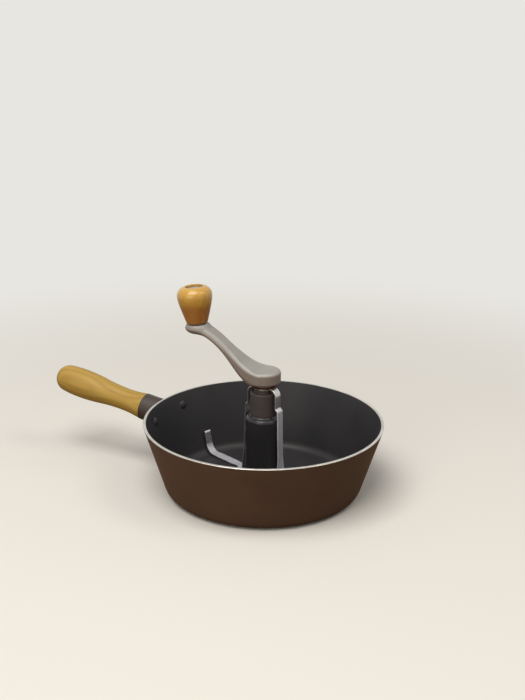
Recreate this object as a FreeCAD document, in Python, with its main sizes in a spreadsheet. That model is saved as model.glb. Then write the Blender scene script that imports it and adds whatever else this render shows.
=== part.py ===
# Hand cranked nut roaster: a cast frying pan with a centre post, a lift-off stirrer that
# turns on the post, and a wooden handle. All lengths are millimetres and all angles degrees.
# The origin is the centre of the pan's underside, +Z is up and the wooden handle points to -X.
import FreeCAD, Part

import math
import os

import Sketcher
from FreeCAD import Placement, Rotation, Vector

UP = Vector(0, 0, 1)
FULL_TURN = 360
HALF_TURN = 180
QUARTER_TURN = 90

# Every driving dimension has one row: its name, its value and what it measures.
SIZES = (
    # Pan
    ("pan_rim_radius", 121.0, "outside radius of the rim"),
    ("pan_height", 73.5, "height of the rim"),
    ("wall_lean", 17.6, "lean of the wall from upright"),
    ("wall_thickness", 3.0, "thickness of the wall"),
    ("floor_thickness", 4.0, "thickness of the floor"),
    ("foot_rounding", 12.6, "rounding where the wall meets the underside"),
    ("bowl_rounding", 10.0, "rounding where the floor meets the wall inside"),
    ("rim_rounding", 0.5, "rounding of the rim's two edges"),
    # Centre post and spindle
    ("post_radius", 18.0, "radius of the post at its top"),
    ("post_height", 79.2, "height of the post's flat top"),
    ("post_draft", 0.5, "casting draft of the post"),
    ("post_shoulder", 4.0, "rounding of the post's top edge"),
    ("post_root", 3.0, "hollow rounding of the post's foot"),
    ("post_foot_edge", 0.5, "height of the upright edge of the post's foot"),
    ("post_screw_radius", 3.0, "radius of the screw that holds the post"),
    ("post_web", 7.2, "thickness of the post between its screw's hole and its spindle's"),
    ("post_screw_head_radius", 6.0, "radius of its countersunk head"),
    ("post_screw_sink", 0.4, "depth of its head inside the pan's underside"),
    ("post_screw_chamfer", 0.8, "lead-in at its end"),
    ("post_socket_depth", 1.8, "depth of the hexagon socket in its head"),
    ("spindle_radius", 5.0, "radius of the steel spindle"),
    ("spindle_bore_depth", 49.0, "depth of the hole that holds the spindle"),
    ("spindle_rise", 17.0, "height of the spindle above the post"),
    ("spindle_end_gap", 0.5, "gap under the spindle's lower end"),
    ("spindle_chamfer", 1.2, "lead-in at the spindle's top"),
    ("collar_radius", 8.0, "radius of the spindle's collar"),
    ("collar_thickness", 3.0, "thickness of the spindle's collar"),
    # Fits
    ("press_gap", 0.02, "radial gap of a part that is pressed or screwed home"),
    ("running_gap", 0.05, "radial gap of a part that turns"),
    ("seat_gap", 0.05, "gap between curved faces that are clamped together"),
    # Drive sleeve, bushes and thrust washer
    ("thrust_washer_radius", 12.5, "outside radius of the thrust washer"),
    ("thrust_washer_thickness", 1.0, "thickness of the thrust washer"),
    ("sleeve_radius", 13.5, "outside radius of the drive sleeve"),
    ("sleeve_bore", 8.0, "radius of the drive sleeve's bore"),
    ("sleeve_height", 27.5, "height of the drive sleeve"),
    ("sleeve_web", 5.5, "thickness of the web that closes the sleeve's top"),
    ("sleeve_edge", 0.8, "chamfer on the sleeve's outer edges"),
    ("sleeve_neck_radius", 9.5, "radius of the sleeve's neck under the blades"),
    ("sleeve_neck_height", 3.0, "height of the sleeve's neck"),
    ("bush_length", 7.0, "length of each bush"),
    # Stack under the crank's hub
    ("copper_washer_radius", 12.8, "outside radius of the copper washer"),
    ("copper_washer_thickness", 1.0, "thickness of the copper washer"),
    ("square_width", 9.0, "width of the square drive under the hub"),
    ("square_gap", 0.1, "gap on each side of the square drive"),
    ("square_sink", 2.0, "depth that the square drive reaches into the sleeve"),
    ("hub_screw_radius", 2.5, "radius of the hub screw"),
    ("hub_screw_reach", 6.5, "length of the hub screw above the hub's underside"),
    ("hub_screw_head_radius", 4.25, "radius of the hub screw's head"),
    ("hub_screw_head_height", 4.0, "height of the hub screw's head"),
    ("hex_key", 4.0, "width across flats of the screws' hexagon sockets"),
    ("hex_depth", 2.4, "depth of the hub screw's socket"),
    ("clearance_gap", 0.2, "radial gap round a screw in a clearance hole"),
    ("lock_washer_radius", 4.4, "outside radius of the hub screw's spring washer"),
    ("lock_washer_thickness", 1.0, "thickness of the spring washers"),
    ("lock_washer_slit", 1.2, "width of the slit in the spring washers"),
    # Crank arm
    ("crank_turn_rest", 186.5, "direction of the crank arm at rest"),
    ("hub_radius", 16.8, "radius of the crank's hub"),
    ("hub_thickness", 12.9, "thickness of the crank's hub"),
    ("hub_edge_top", 4.0, "rounding of the hub's top edge"),
    ("hub_edge_bottom", 1.6, "rounding of the hub's bottom edge"),
    ("hub_boss_radius", 11.0, "radius of the boss under the hub"),
    ("hub_boss_height", 3.0, "height of the boss under the hub"),
    ("crank_throw", 71.5, "distance from the post's axis to the knob"),
    ("crank_rise", 39.8, "height of the knob's seat above the hub's top"),
    ("arm_root_width", 29.6, "width of the arm inside the hub"),
    ("arm_root_thickness", 12.6, "thickness of the arm inside the hub"),
    ("arm_middle_width", 19.0, "width of the arm half way along"),
    ("arm_middle_thickness", 7.6, "thickness of the arm half way along"),
    ("arm_tip_width", 17.4, "width of the arm just before the knob's seat"),
    ("arm_tip_thickness", 8.8, "thickness of the arm just before the knob's seat"),
    ("arm_corner", 0.42, "rounding of the arm's section as a share of its thickness"),
    ("arm_root_share", 0.15, "share of the arm's length where it starts to slim"),
    ("arm_middle_share", 0.55, "share of the arm's length where it is slimmest"),
    ("knob_lean", 5.5, "outward lean of the knob's axis"),
    ("pad_radius", 10.8, "radius of the knob's seat"),
    ("pad_thickness", 7.8, "thickness of the knob's seat"),
    ("pad_edge", 4.6, "rounding of the seat's lower edge"),
    # Knob
    ("knob_height", 37.1, "height of the knob"),
    ("knob_bottom_radius", 10.6, "radius of the knob's bottom"),
    ("knob_belly_radius", 17.4, "largest radius of the knob"),
    ("knob_belly_height", 28.1, "height of the largest radius"),
    ("knob_mouth_radius", 8.8, "radius of the recess in the knob's top"),
    ("knob_recess", 4.5, "depth of the recess in the knob's top"),
    ("knob_edge", 1.0, "rounding of the knob's bottom edge"),
    ("knob_play", 0.3, "end play of the knob on its spindle"),
    ("knob_shank_radius", 3.2, "radius of the knob spindle"),
    ("knob_head_radius", 7.7, "radius of the knob spindle's head"),
    ("knob_head_thickness", 2.2, "thickness of the knob spindle's head"),
    ("knob_tail_radius", 2.6, "radius of the knob spindle's end in the arm"),
    ("knob_rivet_radius", 4.2, "radius of the riveted end under the arm"),
    ("knob_rivet_height", 1.5, "height of the riveted end under the arm"),
    ("knob_washer_radius", 8.2, "radius of the washer under the knob"),
    ("knob_washer_thickness", 1.0, "thickness of the washer under the knob"),
    # Stirring blades
    ("blade_turn_rest", 169.5, "direction of the rear blade at rest"),
    ("strip_width", 8.2, "width of the blades' strip"),
    ("strip_thickness", 1.5, "thickness of the blades' strip"),
    ("eye_radius", 9.5, "radius of the blade's eye"),
    ("crown_radius", 7.5, "radius of the strip's bend under the hub"),
    ("bend_radius", 3.2, "radius of the strip's other upright bends"),
    ("drop_radius", 17.2, "distance of the strip from the axis beside the sleeve"),
    ("jog_height", 91.0, "height where the strip steps outwards"),
    ("jog_angle", 34.0, "angle of the strip's outward step"),
    ("post_clearance", 1.9, "gap between the post and the strip below the step"),
    ("drop_lean", 1.8, "outward lean of the strip beside the post"),
    ("twist_top", 38.0, "height where the strip's twist starts"),
    ("twist_bottom", 14.0, "height where the strip's twist ends"),
    ("twist_angle", 42.0, "twist of the strip beside the post"),
    ("scrape_gap", 0.9, "gap between the strip and the pan's floor"),
    ("first_leg", 18.0, "floor run before the elbow"),
    ("elbow_angle", 30.0, "turn of the elbow in the floor run"),
    ("elbow_radius", 9.0, "radius of the elbow's middle line"),
    ("toe_gap", 5.14, "distance of the floor run's end from the wall at the floor"),
    ("plough_run", 8.0, "length over which the second leg takes or loses its tilt"),
    ("plough_angle", 8.0, "tilt of the second leg about its length"),
    ("toe_radius", 5.0, "bend radius where the strip turns up at the wall"),
    ("toe_length", 20.5, "length of the turned up end"),
    # Handle
    ("handle_tilt", 9.0, "rise of the handle's axis"),
    ("joint_stand_off", 19.8, "distance of the joint of wood and bracket beyond the rim"),
    ("joint_height", 62.9, "height of the joint of wood and bracket"),
    ("joint_radius", 14.1, "radius of the handle at the joint"),
    ("handle_length", 111.2, "length of the visible wood"),
    ("waist_radius", 11.8, "radius of the handle's waist"),
    ("waist_place", 24.2, "distance of the waist from the joint"),
    ("palm_radius", 15.5, "largest radius of the handle"),
    ("palm_place", 80.2, "distance of the largest radius from the joint"),
    ("butt_radius", 14.2, "radius where the butt's rounding starts"),
    ("butt_length", 12.0, "length of the butt's rounding"),
    ("tenon_radius", 9.5, "radius of the tenon in the bracket"),
    ("tenon_length", 11.5, "length of the tenon in the bracket"),
    ("tenon_end_gap", 0.5, "gap at the end of the tenon"),
    ("bracket_web", 6.0, "thickness of the bracket's web"),
    ("bracket_neck", 9.0, "straight length of the bracket's socket"),
    ("bracket_length", 40.0, "length of the socket before the wall trims it"),
    ("bracket_root_radius", 17.5, "radius of the bracket where it meets the pan"),
    ("flange_thickness", 3.0, "thickness of the bracket's flange"),
    ("flange_spread", 36.0, "angle that the flange covers round the pan"),
    ("flange_above", 11.0, "height of the flange above the rivets"),
    ("flange_below", 13.0, "height of the flange below the rivets"),
    ("flange_corner", 8.0, "corner rounding of the flange"),
    ("handle_screw_radius", 2.8, "radius of the handle screw"),
    ("handle_screw_length", 58.0, "length of the handle screw under its head"),
    ("handle_screw_point", 5.0, "length of the handle screw's point"),
    ("screw_end_gap", 1.0, "gap past the end of a screw"),
    ("handle_screw_head_radius", 5.0, "radius of the handle screw's head"),
    ("handle_screw_head_height", 3.0, "height of the handle screw's head"),
    ("slot_width", 1.2, "width of the slot in the handle screw's head"),
    ("slot_depth", 1.3, "depth of the slot in the handle screw's head"),
    ("handle_washer_radius", 5.4, "outside radius of the handle screw's spring washer"),
    ("screw_recess_radius", 6.4, "radius of the recess round the handle screw's head"),
    # Rivets
    ("rivet_height", 60.0, "height of the rivets on the wall"),
    ("rivet_angle", 14.0, "angle of each rivet from the handle's plane"),
    ("rivet_radius", 2.5, "radius of the rivets"),
    ("rivet_head_radius", 4.6, "radius of the rivets' heads"),
    ("rivet_head_height", 1.7, "height of the rivets' heads"),
    ("rivet_gap", 0.1, "gap round the rivets"),
)

doc = FreeCAD.newDocument("nut_roaster")
sheet = doc.addObject("Spreadsheet::Sheet", "Sizes")
for row, (alias, number, meaning) in enumerate(SIZES, start=1):
    sheet.set(f"A{row}", meaning)
    sheet.set(f"B{row}", str(number))
    sheet.setAlias(f"B{row}", alias)
doc.recompute()


def value(expression):
    """The number that an expression on the sheet's sizes comes to."""
    result = sheet.evalExpression(str(expression))
    return float(getattr(result, "Value", result))


# Heights and radii that follow from the sizes, as expressions that the document keeps.
wall_across = "(Sizes.wall_thickness / cos(Sizes.wall_lean))"
base_radius = "(Sizes.pan_rim_radius - Sizes.pan_height * tan(Sizes.wall_lean))"
sleeve_bottom = "(Sizes.post_height + Sizes.thrust_washer_thickness)"
sleeve_top = f"({sleeve_bottom} + Sizes.sleeve_height)"
web_bottom = f"({sleeve_top} - Sizes.sleeve_web)"
spindle_top = "(Sizes.post_height + Sizes.spindle_rise)"
second_tab = f"({sleeve_top} + Sizes.strip_thickness)"
washer_seat = f"({second_tab} + Sizes.strip_thickness)"
boss_bottom = f"({washer_seat} + Sizes.copper_washer_thickness)"
hub_bottom = f"({boss_bottom} + Sizes.hub_boss_height)"
hub_top = f"({hub_bottom} + Sizes.hub_thickness)"
square_bottom = f"({sleeve_top} - Sizes.square_sink)"
knob_seat = f"({hub_top} + Sizes.crank_rise)"
bush_bore = "(Sizes.spindle_radius + Sizes.running_gap)"
tenon_floor = "(Sizes.tenon_length + Sizes.tenon_end_gap)"
screw_seat = f"({tenon_floor} + Sizes.bracket_web)"
screw_head_seat = f"({screw_seat} + Sizes.lock_washer_thickness)"
spindle_bore_floor = "(Sizes.post_height - Sizes.spindle_bore_depth)"
post_thread_floor = f"({spindle_bore_floor} - Sizes.post_web)"
post_screw_seat = "(Sizes.post_screw_sink + Sizes.post_screw_head_radius - Sizes.post_screw_radius)"


def wall_outside(height):
    """Outside radius of the pan's wall at a height."""
    return f"({base_radius} + ({height}) * tan(Sizes.wall_lean))"


def easing_arc(run, rise):
    """Radius of an arc that leaves its start's direction by rise over the length run."""
    return f"((({run}) ^ 2 + ({rise}) ^ 2) / (2 * ({rise})))"


def plane_of(body, role):
    """One of a body's own origin planes."""
    for feature in body.Origin.OriginFeatures:
        if feature.Role == role:
            return feature
    raise ValueError(role)


def new_body(name):
    """A body whose label is its name."""
    body = doc.addObject("PartDesign::Body", name)
    body.Label = name
    return body


def new_sketch(body, name, role):
    """An empty sketch on one of the body's origin planes."""
    sketch = body.newObject("Sketcher::SketchObject", name)
    sketch.AttachmentSupport = (plane_of(body, role), [""])
    sketch.MapMode = "FlatFace"
    return sketch


def arc_middle(start, end, radius, side):
    """Middle of an arc that bulges to the right of its way (side 1) or to the left (side -1)."""
    chord = end - start
    right = Vector(chord.y, -chord.x, 0).normalize()
    sagitta = radius - math.sqrt(radius ** 2 - (chord.Length / 2) ** 2)
    return (start + end) / 2 + right * sagitta * side


def draw_outline(sketch, corners, swells=None, hollows=None):
    """A closed outline through corners given as expressions, anticlockwise.

    swells and hollows map the number of a side to the expression of its radius, for a side
    that bulges outwards or inwards. Each corner is held by its two distances from the origin,
    so that the outline follows the sheet."""
    swells = swells or {}
    hollows = hollows or {}
    points = [Vector(value(x), value(y), 0) for x, y in corners]
    ends = []
    for side, start in enumerate(points):
        end = points[(side + 1) % len(points)]
        if side in swells:
            shape = Part.Arc(start, arc_middle(start, end, value(swells[side]), 1), end)
        elif side in hollows:
            shape = Part.Arc(start, arc_middle(start, end, value(hollows[side]), -1), end)
        else:
            shape = Part.LineSegment(start, end)
        index = sketch.addGeometry(shape)
        to_first = (sketch.getPoint(index, 1) - start).Length
        to_second = (sketch.getPoint(index, 2) - start).Length
        ends.append((1, 2) if to_first < to_second else (2, 1))
    for side in range(len(points)):
        after = (side + 1) % len(points)
        sketch.addConstraint(Sketcher.Constraint("Coincident", side, ends[side][1], after, ends[after][0]))
    for side, (x, y) in enumerate(corners):
        for kind, expression in (("DistanceX", x), ("DistanceY", y)):
            rule = Sketcher.Constraint(kind, -1, 1, side, ends[side][0], value(expression))
            index = sketch.addConstraint(rule)
            sketch.setExpression(f"Constraints[{index}]", str(expression))
    for side, radius in list(swells.items()) + list(hollows.items()):
        index = sketch.addConstraint(Sketcher.Constraint("Radius", side, value(radius)))
        sketch.setExpression(f"Constraints[{index}]", str(radius))


def revolve(body, corners, swells=None, hollows=None, angle=str(FULL_TURN)):
    """A solid of revolution about the body's Z axis. Each corner is (radius, height)."""
    sketch = new_sketch(body, body.Name + "_profile", "XZ_Plane")
    draw_outline(sketch, corners, swells, hollows)
    feature = body.newObject("PartDesign::Revolution", body.Name + "_turned")
    feature.Profile = sketch
    feature.ReferenceAxis = (sketch, ["V_Axis"])
    feature.Midplane = True
    feature.setExpression("Angle", angle)
    doc.recompute()
    return feature


def round_edges(body, name, feature, radius, wanted):
    """Rounds the edges of a feature that wanted(edge) picks."""
    names = [f"Edge{number}" for number, edge in enumerate(feature.Shape.Edges, start=1) if wanted(edge)]
    rounding = body.newObject("PartDesign::Fillet", name)
    rounding.Base = (feature, names)
    rounding.setExpression("Radius", radius)
    doc.recompute()
    return rounding


def ring_at(radius, height):
    """A test for the circular edge of a radius and height."""
    def test(edge):
        circle = edge.Curve
        if not isinstance(circle, Part.Circle):
            return False
        near = abs(circle.Radius - value(radius)) < 0.01
        return near and abs(circle.Center.z - value(height)) < 0.01
    return test


def make_ring(name, outer, inner, thickness):
    """A flat ring or a tube about its own Z axis, its lower face at the origin."""
    body = new_body(name)
    sketch = new_sketch(body, name + "_circles", "XY_Plane")
    for radius in (outer, inner):
        circle = sketch.addGeometry(Part.Circle(Vector(0, 0, 0), UP, value(radius)))
        sketch.addConstraint(Sketcher.Constraint("Coincident", circle, 3, -1, 1))
        index = sketch.addConstraint(Sketcher.Constraint("Radius", circle, value(radius)))
        sketch.setExpression(f"Constraints[{index}]", radius)
    pad = body.newObject("PartDesign::Pad", name + "_pad")
    pad.Profile = sketch
    pad.setExpression("Length", thickness)
    doc.recompute()
    return body


def make_upright_ring(name, outer, inner, thickness, bottom):
    """A ring that stands on the post's axis with its lower face at a height."""
    body = make_ring(name, outer, inner, thickness)
    body.setExpression("Placement.Base.z", bottom)
    doc.recompute()
    return body


def slit_ring(body, outer):
    """Cuts the slit of a spring washer through one side of a ring."""
    slot = body.newObject("PartDesign::SubtractiveBox", body.Name + "_slit")
    slot.setExpression("Length", f"{outer} + Sizes.clearance_gap")
    slot.setExpression("Width", "Sizes.lock_washer_slit")
    slot.setExpression("Height", "Sizes.lock_washer_thickness")
    slot.setExpression("Placement.Base.y", "-Sizes.lock_washer_slit / 2")
    doc.recompute()
    return body


def add_hexagon_socket(body, mouth, depth):
    """Cuts a hexagon socket up into a screw's head from the height of its mouth."""
    key = body.newObject("PartDesign::SubtractivePrism", body.Name + "_socket")
    key.Polygon = 6
    key.setExpression("Circumradius", "Sizes.hex_key / sqrt(3)")
    key.setExpression("Height", depth)
    key.setExpression("Placement.Base.z", mouth)
    doc.recompute()
    return body


def add_box(name, width, height, bottom, turn):
    """A square block centred on the post's axis, from a height upwards, turned about the axis."""
    block = doc.addObject("Part::Box", name)
    block.setExpression("Length", width)
    block.setExpression("Width", width)
    block.setExpression("Height", height)
    half = value(width) / 2
    corner = Rotation(UP, value(turn)).multVec(Vector(-half, -half, 0))
    block.Placement = Placement(corner + UP * value(bottom), Rotation(UP, value(turn)))
    return block


def add_cylinder(name, radius, height, place):
    """A cylinder from the origin of a placement along its Z axis."""
    cylinder = doc.addObject("Part::Cylinder", name)
    cylinder.setExpression("Radius", radius)
    cylinder.setExpression("Height", height)
    cylinder.Placement = place
    return cylinder


def fuse(name, shapes):
    """Several shapes joined into one."""
    union = doc.addObject("Part::MultiFuse", name)
    union.Label = name
    union.Shapes = shapes
    doc.recompute()
    return union


def cut(name, base, tool):
    """A shape less another."""
    difference = doc.addObject("Part::Cut", name)
    difference.Label = name
    difference.Base = base
    difference.Tool = tool
    doc.recompute()
    return difference


def shifted(place, distance):
    """A placement moved along its own Z axis."""
    return place.multiply(Placement(UP * value(distance), Rotation()))


def rivet_place(side):
    """Frame on the wall's outside at a rivet, Z pointing out of the pan. side is 1 or -1."""
    lean = math.radians(value("Sizes.wall_lean"))
    turn = math.radians(HALF_TURN + side * value("Sizes.rivet_angle"))
    radial = Vector(math.cos(turn), math.sin(turn), 0)
    outward = radial * math.cos(lean) - UP * math.sin(lean)
    point = radial * value(wall_outside("Sizes.rivet_height")) + UP * value("Sizes.rivet_height")
    return Placement(point, Rotation(UP, outward))


def handle_place():
    """Frame at the joint of wood and bracket, Z pointing along the handle to its butt."""
    tilt = math.radians(value("Sizes.handle_tilt"))
    along = Vector(-math.cos(tilt), 0, math.sin(tilt))
    joint = Vector(-value("Sizes.pan_rim_radius + Sizes.joint_stand_off"), 0, value("Sizes.joint_height"))
    return Placement(joint, Rotation(UP, along))


def crank_place():
    """Frame on the post's axis, X pointing along the crank arm."""
    return Placement(Vector(0, 0, 0), Rotation(UP, value("Sizes.crank_turn_rest")))


def knob_place():
    """Frame on the knob's seat, Z pointing up the leaning axis of the knob."""
    seat = Vector(value("Sizes.crank_throw"), 0, value(knob_seat))
    lean = Rotation(Vector(0, 1, 0), value("Sizes.knob_lean"))
    return crank_place().multiply(Placement(seat, lean))


def rivet_hole_tools(name):
    """Two cylinders where the rivets go through wall and flange."""
    holes = []
    for side, end in ((1, "near"), (-1, "far")):
        radius = "Sizes.rivet_radius + Sizes.rivet_gap"
        length = "2 * (Sizes.wall_thickness + Sizes.flange_thickness)"
        place = shifted(rivet_place(side), "-Sizes.wall_thickness - Sizes.flange_thickness")
        holes.append(add_cylinder(f"{name}_{end}", radius, length, place))
    return fuse(name, holes)


def make_pan_bowl():
    """Cast bowl, turned about the post's axis, with its rivet holes and the countersunk hole
    for the post's screw."""
    body = new_body("casting")
    floor = "Sizes.floor_thickness"
    hole = "(Sizes.post_screw_radius + Sizes.clearance_gap)"
    mouth = "(Sizes.post_screw_head_radius + Sizes.post_screw_sink + Sizes.seat_gap * sqrt(2))"
    inner_base = f"({wall_outside(floor)} - {wall_across})"
    inner_rim = f"(Sizes.pan_rim_radius - {wall_across})"
    feature = revolve(body, (
        (mouth, "0"),
        (base_radius, "0"),
        ("Sizes.pan_rim_radius", "Sizes.pan_height"),
        (inner_rim, "Sizes.pan_height"),
        (inner_base, floor),
        (hole, floor),
        (hole, f"{mouth} - {hole}"),
    ))
    roundings = (
        ("foot", "Sizes.foot_rounding", base_radius, "0"),
        ("bowl_corner", "Sizes.bowl_rounding", inner_base, floor),
        ("rim_outer_edge", "Sizes.rim_rounding", "Sizes.pan_rim_radius", "Sizes.pan_height"),
        ("rim_inner_edge", "Sizes.rim_rounding", inner_rim, "Sizes.pan_height"),
    )
    for name, radius, ring_radius, ring_height in roundings:
        feature = round_edges(body, name, feature, radius, ring_at(ring_radius, ring_height))
    return cut("pan_bowl", body, rivet_hole_tools("wall_holes"))


def make_centre_post():
    """Cast post that stands on the bowl's floor. The spindle goes in from above, its screw from below."""
    body = new_body("centre_post")
    floor = "Sizes.floor_thickness"
    foot_top = f"({floor} + Sizes.post_foot_edge)"
    root_top = f"({foot_top} + Sizes.post_root)"
    thread = "(Sizes.post_screw_radius + Sizes.press_gap)"
    collar_floor = "(Sizes.post_height - Sizes.collar_thickness)"
    bore = "(Sizes.spindle_radius + Sizes.press_gap)"
    counterbore = "(Sizes.collar_radius + Sizes.press_gap)"
    root_radius = f"(Sizes.post_radius + (Sizes.post_height - {root_top}) * tan(Sizes.post_draft))"
    feature = revolve(body, (
        ("0", post_thread_floor),
        (thread, post_thread_floor),
        (thread, floor),
        (f"{root_radius} + Sizes.post_root", floor),
        (f"{root_radius} + Sizes.post_root", foot_top),
        (root_radius, root_top),
        ("Sizes.post_radius", "Sizes.post_height"),
        (counterbore, "Sizes.post_height"),
        (counterbore, collar_floor),
        (bore, collar_floor),
        (bore, spindle_bore_floor),
        ("0", spindle_bore_floor),
    ), hollows={4: "Sizes.post_root"})
    round_edges(body, "post_shoulder", feature, "Sizes.post_shoulder",
                ring_at("Sizes.post_radius", "Sizes.post_height"))
    return body


def make_post_screw():
    """Countersunk screw from the pan's underside up into the post, with a hexagon socket."""
    body = new_body("post_screw")
    end = f"({post_thread_floor} - Sizes.screw_end_gap)"
    revolve(body, (
        ("0", "Sizes.post_screw_sink"),
        ("Sizes.post_screw_head_radius", "Sizes.post_screw_sink"),
        ("Sizes.post_screw_radius", post_screw_seat),
        ("Sizes.post_screw_radius", f"{end} - Sizes.post_screw_chamfer"),
        ("Sizes.post_screw_radius - Sizes.post_screw_chamfer", end),
        ("0", end),
    ))
    return add_hexagon_socket(body, "Sizes.post_screw_sink", "Sizes.post_socket_depth")


def make_post_spindle():
    """Steel pin pressed into the post, its collar let in flush with the post's top."""
    body = new_body("post_spindle")
    collar_floor = "(Sizes.post_height - Sizes.collar_thickness)"
    lower_end = f"({spindle_bore_floor} + Sizes.spindle_end_gap)"
    revolve(body, (
        ("0", lower_end),
        ("Sizes.spindle_radius - Sizes.spindle_chamfer", lower_end),
        ("Sizes.spindle_radius", f"{lower_end} + Sizes.spindle_chamfer"),
        ("Sizes.spindle_radius", collar_floor),
        ("Sizes.collar_radius", collar_floor),
        ("Sizes.collar_radius", "Sizes.post_height"),
        ("Sizes.spindle_radius", "Sizes.post_height"),
        ("Sizes.spindle_radius", f"{spindle_top} - Sizes.spindle_chamfer"),
        ("Sizes.spindle_radius - Sizes.spindle_chamfer", spindle_top),
        ("0", spindle_top),
    ))
    return body


def make_handle_rivets():
    """Two rivets with low domed heads, inside the pan and on the flange."""
    inner_seat = "(-Sizes.wall_thickness - Sizes.rivet_gap)"
    outer_seat = "(Sizes.seat_gap + Sizes.flange_thickness + Sizes.rivet_gap)"
    dome = easing_arc("Sizes.rivet_head_radius", "Sizes.rivet_head_height")
    rivets = []
    for side, name in ((1, "rivet_near"), (-1, "rivet_far")):
        body = new_body(name)
        revolve(body, (
            ("0", f"{inner_seat} - Sizes.rivet_head_height"),
            ("Sizes.rivet_head_radius", inner_seat),
            ("Sizes.rivet_radius", inner_seat),
            ("Sizes.rivet_radius", outer_seat),
            ("Sizes.rivet_head_radius", outer_seat),
            ("0", f"{outer_seat} + Sizes.rivet_head_height"),
        ), swells={0: dome, 4: dome})
        body.Placement = rivet_place(side)
        rivets.append(body)
    pair = doc.addObject("Part::Compound", "handle_rivets")
    pair.Label = "handle_rivets"
    pair.Links = rivets
    doc.recompute()
    return pair


def make_handle_bracket():
    """Flange that hugs the wall and a flared socket for the handle's tenon, cast in one."""
    flange = new_body("flange")
    low = "(Sizes.rivet_height - Sizes.flange_below)"
    high = "(Sizes.rivet_height + Sizes.flange_above)"
    across = "((Sizes.seat_gap + Sizes.flange_thickness) / cos(Sizes.wall_lean))"
    band = revolve(flange, (
        (wall_outside(low), low),
        (f"{wall_outside(low)} + {across}", low),
        (f"{wall_outside(high)} + {across}", high),
        (wall_outside(high), high),
    ), angle="Sizes.flange_spread")
    width = value(across)
    round_edges(flange, "flange_corners", band, "Sizes.flange_corner",
                lambda edge: abs(edge.Length - width) < 0.01)
    flange.Placement = Placement(Vector(0, 0, 0), Rotation(UP, HALF_TURN))

    socket = new_body("socket")
    bore = "(Sizes.tenon_radius + Sizes.press_gap)"
    hole = "(Sizes.handle_screw_radius + Sizes.clearance_gap)"
    flare = easing_arc("Sizes.bracket_length - Sizes.bracket_neck",
                       "Sizes.bracket_root_radius - Sizes.joint_radius")
    revolve(socket, (
        ("Sizes.screw_recess_radius", "-Sizes.bracket_length"),
        ("Sizes.bracket_root_radius", "-Sizes.bracket_length"),
        ("Sizes.joint_radius", "-Sizes.bracket_neck"),
        ("Sizes.joint_radius", "0"),
        (bore, "0"),
        (bore, f"-{tenon_floor}"),
        (hole, f"-{tenon_floor}"),
        (hole, f"-{screw_seat}"),
        ("Sizes.screw_recess_radius", f"-{screw_seat}"),
    ), hollows={1: flare})
    socket.Placement = handle_place()

    recess = add_cylinder("flange_opening", "Sizes.screw_recess_radius", "Sizes.bracket_length",
                          shifted(handle_place(), f"-Sizes.bracket_length - {screw_seat}"))
    envelope = doc.addObject("Part::Cone", "wall_envelope")
    envelope.setExpression("Radius1", f"{base_radius} + Sizes.seat_gap / cos(Sizes.wall_lean)")
    envelope.setExpression("Radius2", wall_outside("2 * Sizes.pan_height")
                           + " + Sizes.seat_gap / cos(Sizes.wall_lean)")
    envelope.setExpression("Height", "2 * Sizes.pan_height")
    blank = fuse("bracket_blank", [cut("open_flange", flange, recess), socket])
    seated = cut("seated_bracket", blank, envelope)
    return cut("handle_bracket", seated, rivet_hole_tools("flange_holes"))


def make_handle_screw():
    """Wood screw that draws the handle into its socket, put in from the pan's side."""
    body = new_body("handle_screw")
    tip = f"(Sizes.handle_screw_length - {screw_head_seat})"
    revolve(body, (
        ("0", f"-{screw_head_seat} - Sizes.handle_screw_head_height"),
        ("Sizes.handle_screw_head_radius", f"-{screw_head_seat} - Sizes.handle_screw_head_height"),
        ("Sizes.handle_screw_head_radius", f"-{screw_head_seat}"),
        ("Sizes.handle_screw_radius", f"-{screw_head_seat}"),
        ("Sizes.handle_screw_radius", f"{tip} - Sizes.handle_screw_point"),
        ("0", tip),
    ))
    slot = body.newObject("PartDesign::SubtractiveBox", "screw_slot")
    slot.setExpression("Length", "2 * Sizes.handle_screw_head_radius")
    slot.setExpression("Width", "Sizes.slot_width")
    slot.setExpression("Height", "Sizes.slot_depth")
    slot.setExpression("Placement.Base.x", "-Sizes.handle_screw_head_radius")
    slot.setExpression("Placement.Base.y", "-Sizes.slot_width / 2")
    slot.setExpression("Placement.Base.z", f"-{screw_head_seat} - Sizes.handle_screw_head_height")
    body.Placement = handle_place()
    doc.recompute()
    return body


def make_screw_washer():
    """Spring washer under the handle screw's head."""
    outer = "Sizes.handle_washer_radius"
    inner = "(Sizes.handle_screw_radius + Sizes.clearance_gap)"
    body = make_ring("screw_washer", outer, inner, "Sizes.lock_washer_thickness")
    slit_ring(body, outer)
    body.Placement = shifted(handle_place(), f"-{screw_head_seat}")
    return body


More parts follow.
